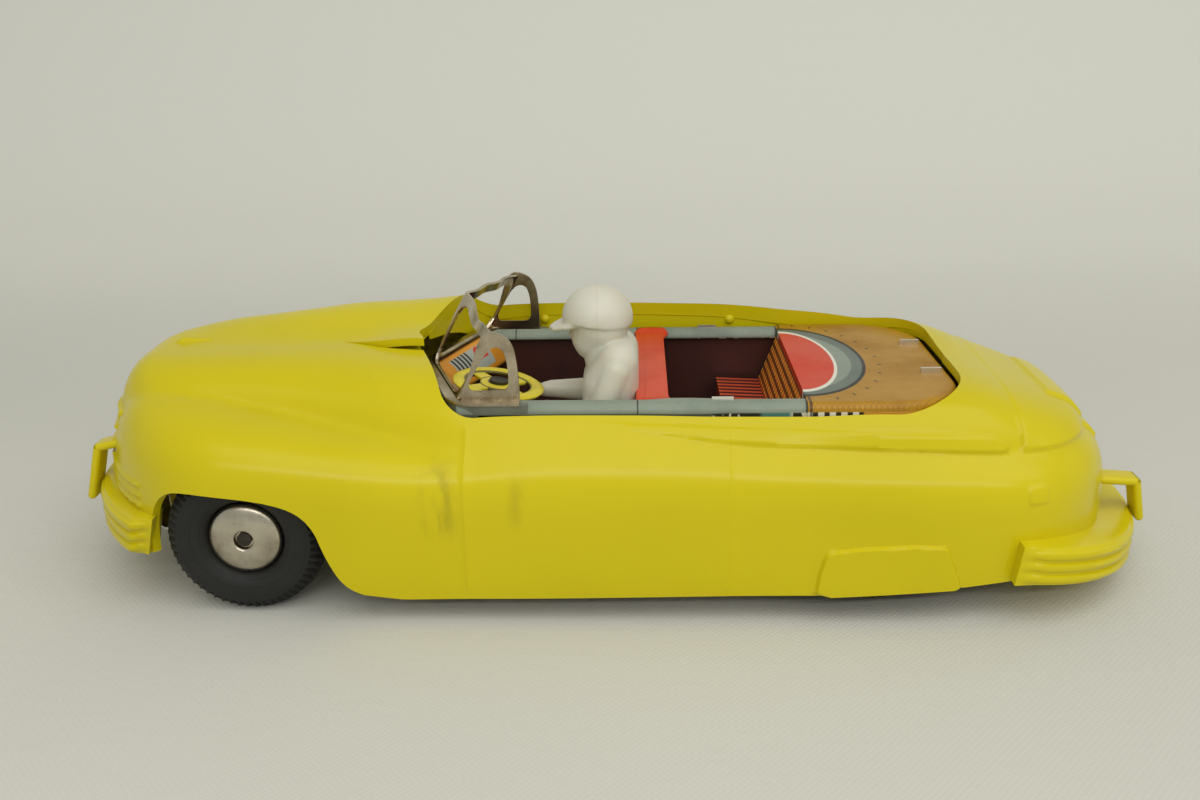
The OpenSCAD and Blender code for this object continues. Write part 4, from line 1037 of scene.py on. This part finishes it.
def red_tin():
    """Front seat red on top and maroon below, rear seat with a checked back and a striped cushion."""
    finish = Finish("red tin", Specular_IOR_Level=0.3)
    x, y, z = finish.place()
    stain = finish.stain(60)
    red = finish.mix(stain, (214, 66, 26), (198, 56, 24))
    maroon = finish.mix(stain, (66, 36, 30), (50, 28, 24))
    front = finish.mix(finish.rise(z, 40.6, 41), maroon, red)
    stripe = finish.rise(finish.comb(y, 2.4), 0.22, 0.28)
    cross = finish.rise(finish.comb(z, 1.9), 0.26, 0.32)
    check = finish.mix(stripe, (222, 70, 36), (232, 182, 60))
    check = finish.mix(cross * 0.85, check, (64, 32, 26))
    cushion = finish.mix(stripe, (58, 30, 26), (206, 80, 44))
    rear = finish.mix(finish.rise(z, 31.2, 31.5), cushion, check)
    colour = finish.mix(finish.rise(x, -30, -29.5), rear, front)
    return finish.feed(Base_Color=colour, Roughness=0.32 + stain * 0.15).relief(finish.noise(140, 4), 0.12)


def maroon_tin():
    """Cabin walls, with the bare metal of the tabs that stand above the deck."""
    finish = Finish("maroon tin", Specular_IOR_Level=0.5)
    z = finish.place()[2]
    stain = finish.stain(45)
    tab = finish.rise(z, 42.9, 43.1)
    colour = finish.mix(tab, finish.mix(stain, (76, 40, 34), (56, 30, 26)), (238, 236, 228))
    finish.feed(Base_Color=colour, Metallic=tab, Roughness=0.34 + stain * 0.14)
    return finish.relief(finish.noise(110, 4), 0.12)


def dash_tin():
    """Orange dashboard with a grey instrument panel, a red half disc and dark bars."""
    finish = Finish("dash tin", Specular_IOR_Level=0.3)
    _, y, z = finish.place()
    stain = finish.stain(60)
    panel = finish.fall(finish.high(abs(y + 11.5) / 8.2, abs(z - 39.9) / 2.5), 0.96, 1.0)
    bars = finish.rise(finish.comb(y, 1.5), 0.22, 0.26)
    disc = finish.fall(finish.length(y + 15.5, z - 39.6), 2.6, 2.8)
    dial = finish.fall(finish.length(y - 12.5, z - 39.8), 2.3, 2.5)
    needle = finish.band(y - 12.5 - (z - 39.8) * 0.6, -0.2, 0.2, 0.08) * dial
    colour = finish.coats(
        finish.mix(stain, (222, 152, 44), (204, 132, 36)),
        (panel, (168, 172, 160)),
        (panel * bars * finish.rise(y, -11, -10.8), (46, 42, 38)),
        (disc * finish.rise(z, 39.5, 39.7), (206, 60, 40)),
        (dial, (226, 220, 200)),
        (needle, (40, 34, 30)))
    return finish.feed(Base_Color=colour, Roughness=0.3 + stain * 0.15).relief(finish.noise(140, 4), 0.1)


def yellow_tin():
    """The steering wheel, with dark lines where its stamping turns."""
    finish = Finish("yellow tin", Specular_IOR_Level=0.5)
    x, y, _ = finish.place()
    stain = finish.stain(120)
    r = finish.length(x - steering_at.x, y - steering_at.y)
    colour = finish.mix(stain, (226, 206, 40), (204, 184, 34))
    line = finish.high(finish.band(r, 6.7, 7.15), finish.band(r, 3.6, 4.1), finish.fall(r, 2.1, 2.3))
    colour = finish.mix(line * 0.85, colour, (52, 46, 26))
    return finish.feed(Base_Color=colour, Roughness=0.32 + stain * 0.14).relief(finish.noise(180, 3), 0.1)


def metal(name, light, dark, gloss, scale=60, worn=None):
    """A bare metal, clouded from light to dark, with worn spots if a colour is given for them."""
    finish = Finish(name, Metallic=1.0)
    x, y, z = finish.place()
    cloud = finish.rise(finish.noise(scale, 6, 0.62), 0.3, 0.75)
    brushed = finish.noise(90, 3, 0.6, finish.spot(x * 0.012, y * 0.002, z * 0.006))
    colour = finish.mix(cloud, light, dark)
    if worn:
        colour = finish.mix(finish.rise(finish.noise(scale * 2, 5, 0.7), 0.6, 0.78) * 0.6, colour, worn)
    return finish.feed(Base_Color=colour, Roughness=gloss + cloud * 0.14).relief(brushed, 0.1, 0.05 * MM)


def rubber():
    """Charcoal rubber with thin moulded rings on the sidewall."""
    finish = Finish("rubber", Specular_IOR_Level=0.35)
    x, _, z = finish.place()
    front_r, rear_r = [finish.length(x - axle, z - wheel_z) for axle in (front_x, rear_x)]
    r = finish.math("MINIMUM", front_r, rear_r)
    rings = finish.high(*[finish.band(r, ring, ring + 0.25, 0.1) for ring in (9.0, 10.9, 13.1)])
    dust = finish.rise(finish.noise(110, 6, 0.65), 0.42, 0.72)
    colour = finish.mix(dust, (30, 30, 27), (43, 42, 38))
    colour = finish.mix(rings * 0.4, colour, (20, 20, 18))
    finish.feed(Base_Color=colour, Roughness=0.58 + dust * 0.2)
    return finish.relief(finish.noise(300, 4) * 0.5 - rings, 0.35, 0.15 * MM)


finishes = {
    "yellow_plastic": yellow_plastic(), "white_plastic": white_plastic(), "printed_tin": printed_tin(),
    "dash_tin": dash_tin(), "red_tin": red_tin(), "maroon_tin": maroon_tin(), "yellow_tin": yellow_tin(),
    "bare_tin": metal("bare tin", (192, 192, 186), (150, 150, 142), 0.34, worn=(120, 104, 84)),
    "nickel": metal("nickel", (206, 198, 180), (150, 140, 122), 0.22, 90, (104, 90, 70)),
    "steel": metal("steel", (176, 176, 174), (126, 126, 124), 0.3, 110),
    "spring_steel": metal("spring steel", (96, 102, 122), (62, 64, 74), 0.28, 80),
    "brass": metal("brass", (212, 176, 96), (168, 132, 64), 0.26, 90, (110, 84, 44)),
    "rubber": rubber()}
for part in frame["record"]["subparts"]:
    mesh = frame["nodes"][part["node"]].data
    mesh.materials.clear()
    mesh.materials.append(finishes[part["material_slot"]].material)
dull = metal("dull wire", (92, 88, 80), (60, 56, 50), 0.4, 140)
bright = metal("bright tin", (240, 238, 230), (208, 204, 194), 0.28, 140)
for name, finish in (("front_axle", dull), ("rear_axle", dull), ("steering_column", dull),
                     ("motor_plate_left", bright), ("motor_plate_right", bright)):
    frame["nodes"][name].data.materials[0] = finish.material

yellow = finishes["yellow_plastic"]
body_skin(yellow)
bumper("front_bumper", yellow, middle=front_x + 19, facing=1, foot=front_bumper_z, height=9, shift=0,
       lean=(-0.8, 2), rise=0, ends=0.9)
bumper("rear_bumper", yellow, middle=rear_x - 27, facing=-1, foot=rear_bumper_z - 0.5, height=8.4, shift=-3.6,
       lean=(0, -1.2), rise=3.8, ends=2.6)
fittings(yellow)
deck_plate(finishes["printed_tin"])
deck_rails(rail_tin())
seat_strip(finishes["red_tin"])
dash_panel(finishes["dash_tin"])
windscreen(metal("screen nickel", (206, 193, 168), (124, 110, 86), 0.2, 80, (84, 70, 50)))
driver(finishes["white_plastic"])
steering_wheel(finishes["yellow_tin"])
for end, x, y in (("front", front_x, 32), ("rear", rear_x, 28.5)):
    for hand, side in (("left", 1), ("right", -1)):
        tyre(f"{end}_tyre_{hand}", x, side * y, side, f"{end}_wheels", finishes["rubber"])
        hub(f"{end}_hub_{hand}", x, side * y, side, f"{end}_wheels", finishes["nickel"])


# Floor and backdrop, light and camera

def pale_cloth():
    """Pale woven cloth, with painted light that makes it lighter where it rises behind the toy."""
    finish = Finish("pale cloth", Specular_IOR_Level=0.1)
    x, y, z = finish.place()
    weave = finish.math("SINE", x * 4.6) * finish.math("SINE", y * 4.2)
    slub = finish.noise(30, 4, 0.6, finish.spot(x * 0.004, y * 0.02, z * 0.004))
    cloud = finish.noise(3, 3)
    tone = finish.mix(finish.rise(cloud, 0.3, 0.7), (210, 208, 197), (203, 202, 192))
    # Painted light: the backdrop behind the toy is coloured lighter than the floor in front of it.
    tone = finish.mix(finish.rise(y, -420, -80), (233, 232, 222), tone)
    near = finish.rise(y, -330, -250)
    threads = (finish.rise(weave, 0.1, 0.9) * 0.05 + finish.rise(slub, 0.5, 0.75) * 0.05) * near
    tone = finish.mix(threads, tone, (170, 168, 158))
    finish.feed(Base_Color=tone, Roughness=0.92 - slub * 0.05)
    return finish.relief((weave * 0.4 + slub) * near, 0.22, 0.2 * MM)


def stage_sweep():
    """The floor, bent up into a backdrop behind the toy."""
    bend_y, bend_r, ahead, behind, width = -420, 260, 900, 1500, 6000
    arc = bend_r * math.pi / 2

    def spot(u, v):
        run = v * (ahead + behind) - behind
        x = (u - 0.5) * width
        if run > bend_y:
            return x, run, 0
        if run > bend_y - arc:
            turn = (bend_y - run) / bend_r
            return x, bend_y - bend_r * math.sin(turn), bend_r * (1 - math.cos(turn))
        return x, bend_y - bend_r, bend_r + bend_y - arc - run
    floor = finished("floor", strip(1, 90, spot), pale_cloth())


stage_sweep()


def lamp(name, spot, target, size, power):
    light = bpy.data.lights.new(name, "AREA")
    light.shape = "RECTANGLE"
    light.size, light.size_y = size[0] * MM, size[1] * MM
    light.energy = power
    holder = placed(name, light)
    holder.location = Vector(spot) * MM
    holder.rotation_euler = (Vector(target) - Vector(spot)).to_track_quat("-Z", "Y").to_euler()


lamp("window", (-220, 420, 800), (0, 0, 20), (1300, 800), 4.2)
lamp("strip", (-60, 520, 330), (0, 30, 30), (700, 30), 0.7)
world = bpy.data.worlds.new("room")
world.use_nodes = True
world.node_tree.nodes["Background"].inputs["Color"].default_value = (0.86, 0.87, 0.84, 1)
world.node_tree.nodes["Background"].inputs["Strength"].default_value = 0.57
bpy.context.scene.world = world


def look_from(spot, pitch, yaw, roll, focal):
    """The photograph's camera: angles in degrees, focal length in pixels of a 1200 wide picture."""
    pitch, yaw, roll = (math.radians(a) for a in (pitch, yaw, roll))
    ahead = Vector((math.sin(yaw) * math.cos(pitch), -math.cos(yaw) * math.cos(pitch), -math.sin(pitch)))
    right = ahead.cross(Vector((0, 0, 1))).normalized()
    up = right.cross(ahead)
    across = math.cos(roll) * right + math.sin(roll) * up
    above = math.cos(roll) * up - math.sin(roll) * right
    lens = bpy.data.cameras.new("camera")
    lens.sensor_width = 36
    lens.lens = focal / 1200 * lens.sensor_width
    lens.clip_start = 0.01
    camera = placed("camera", lens)
    turn = Matrix((across, above, -ahead)).transposed().to_4x4()
    camera.matrix_world = Matrix.Translation(Vector(spot) * MM) @ turn
    bpy.context.scene.camera = camera


look_from((-16.0, 247.1, 120.8), 19.32, 1.93, -1.02, 1150)
bpy.context.scene.view_settings.view_transform = "Standard"
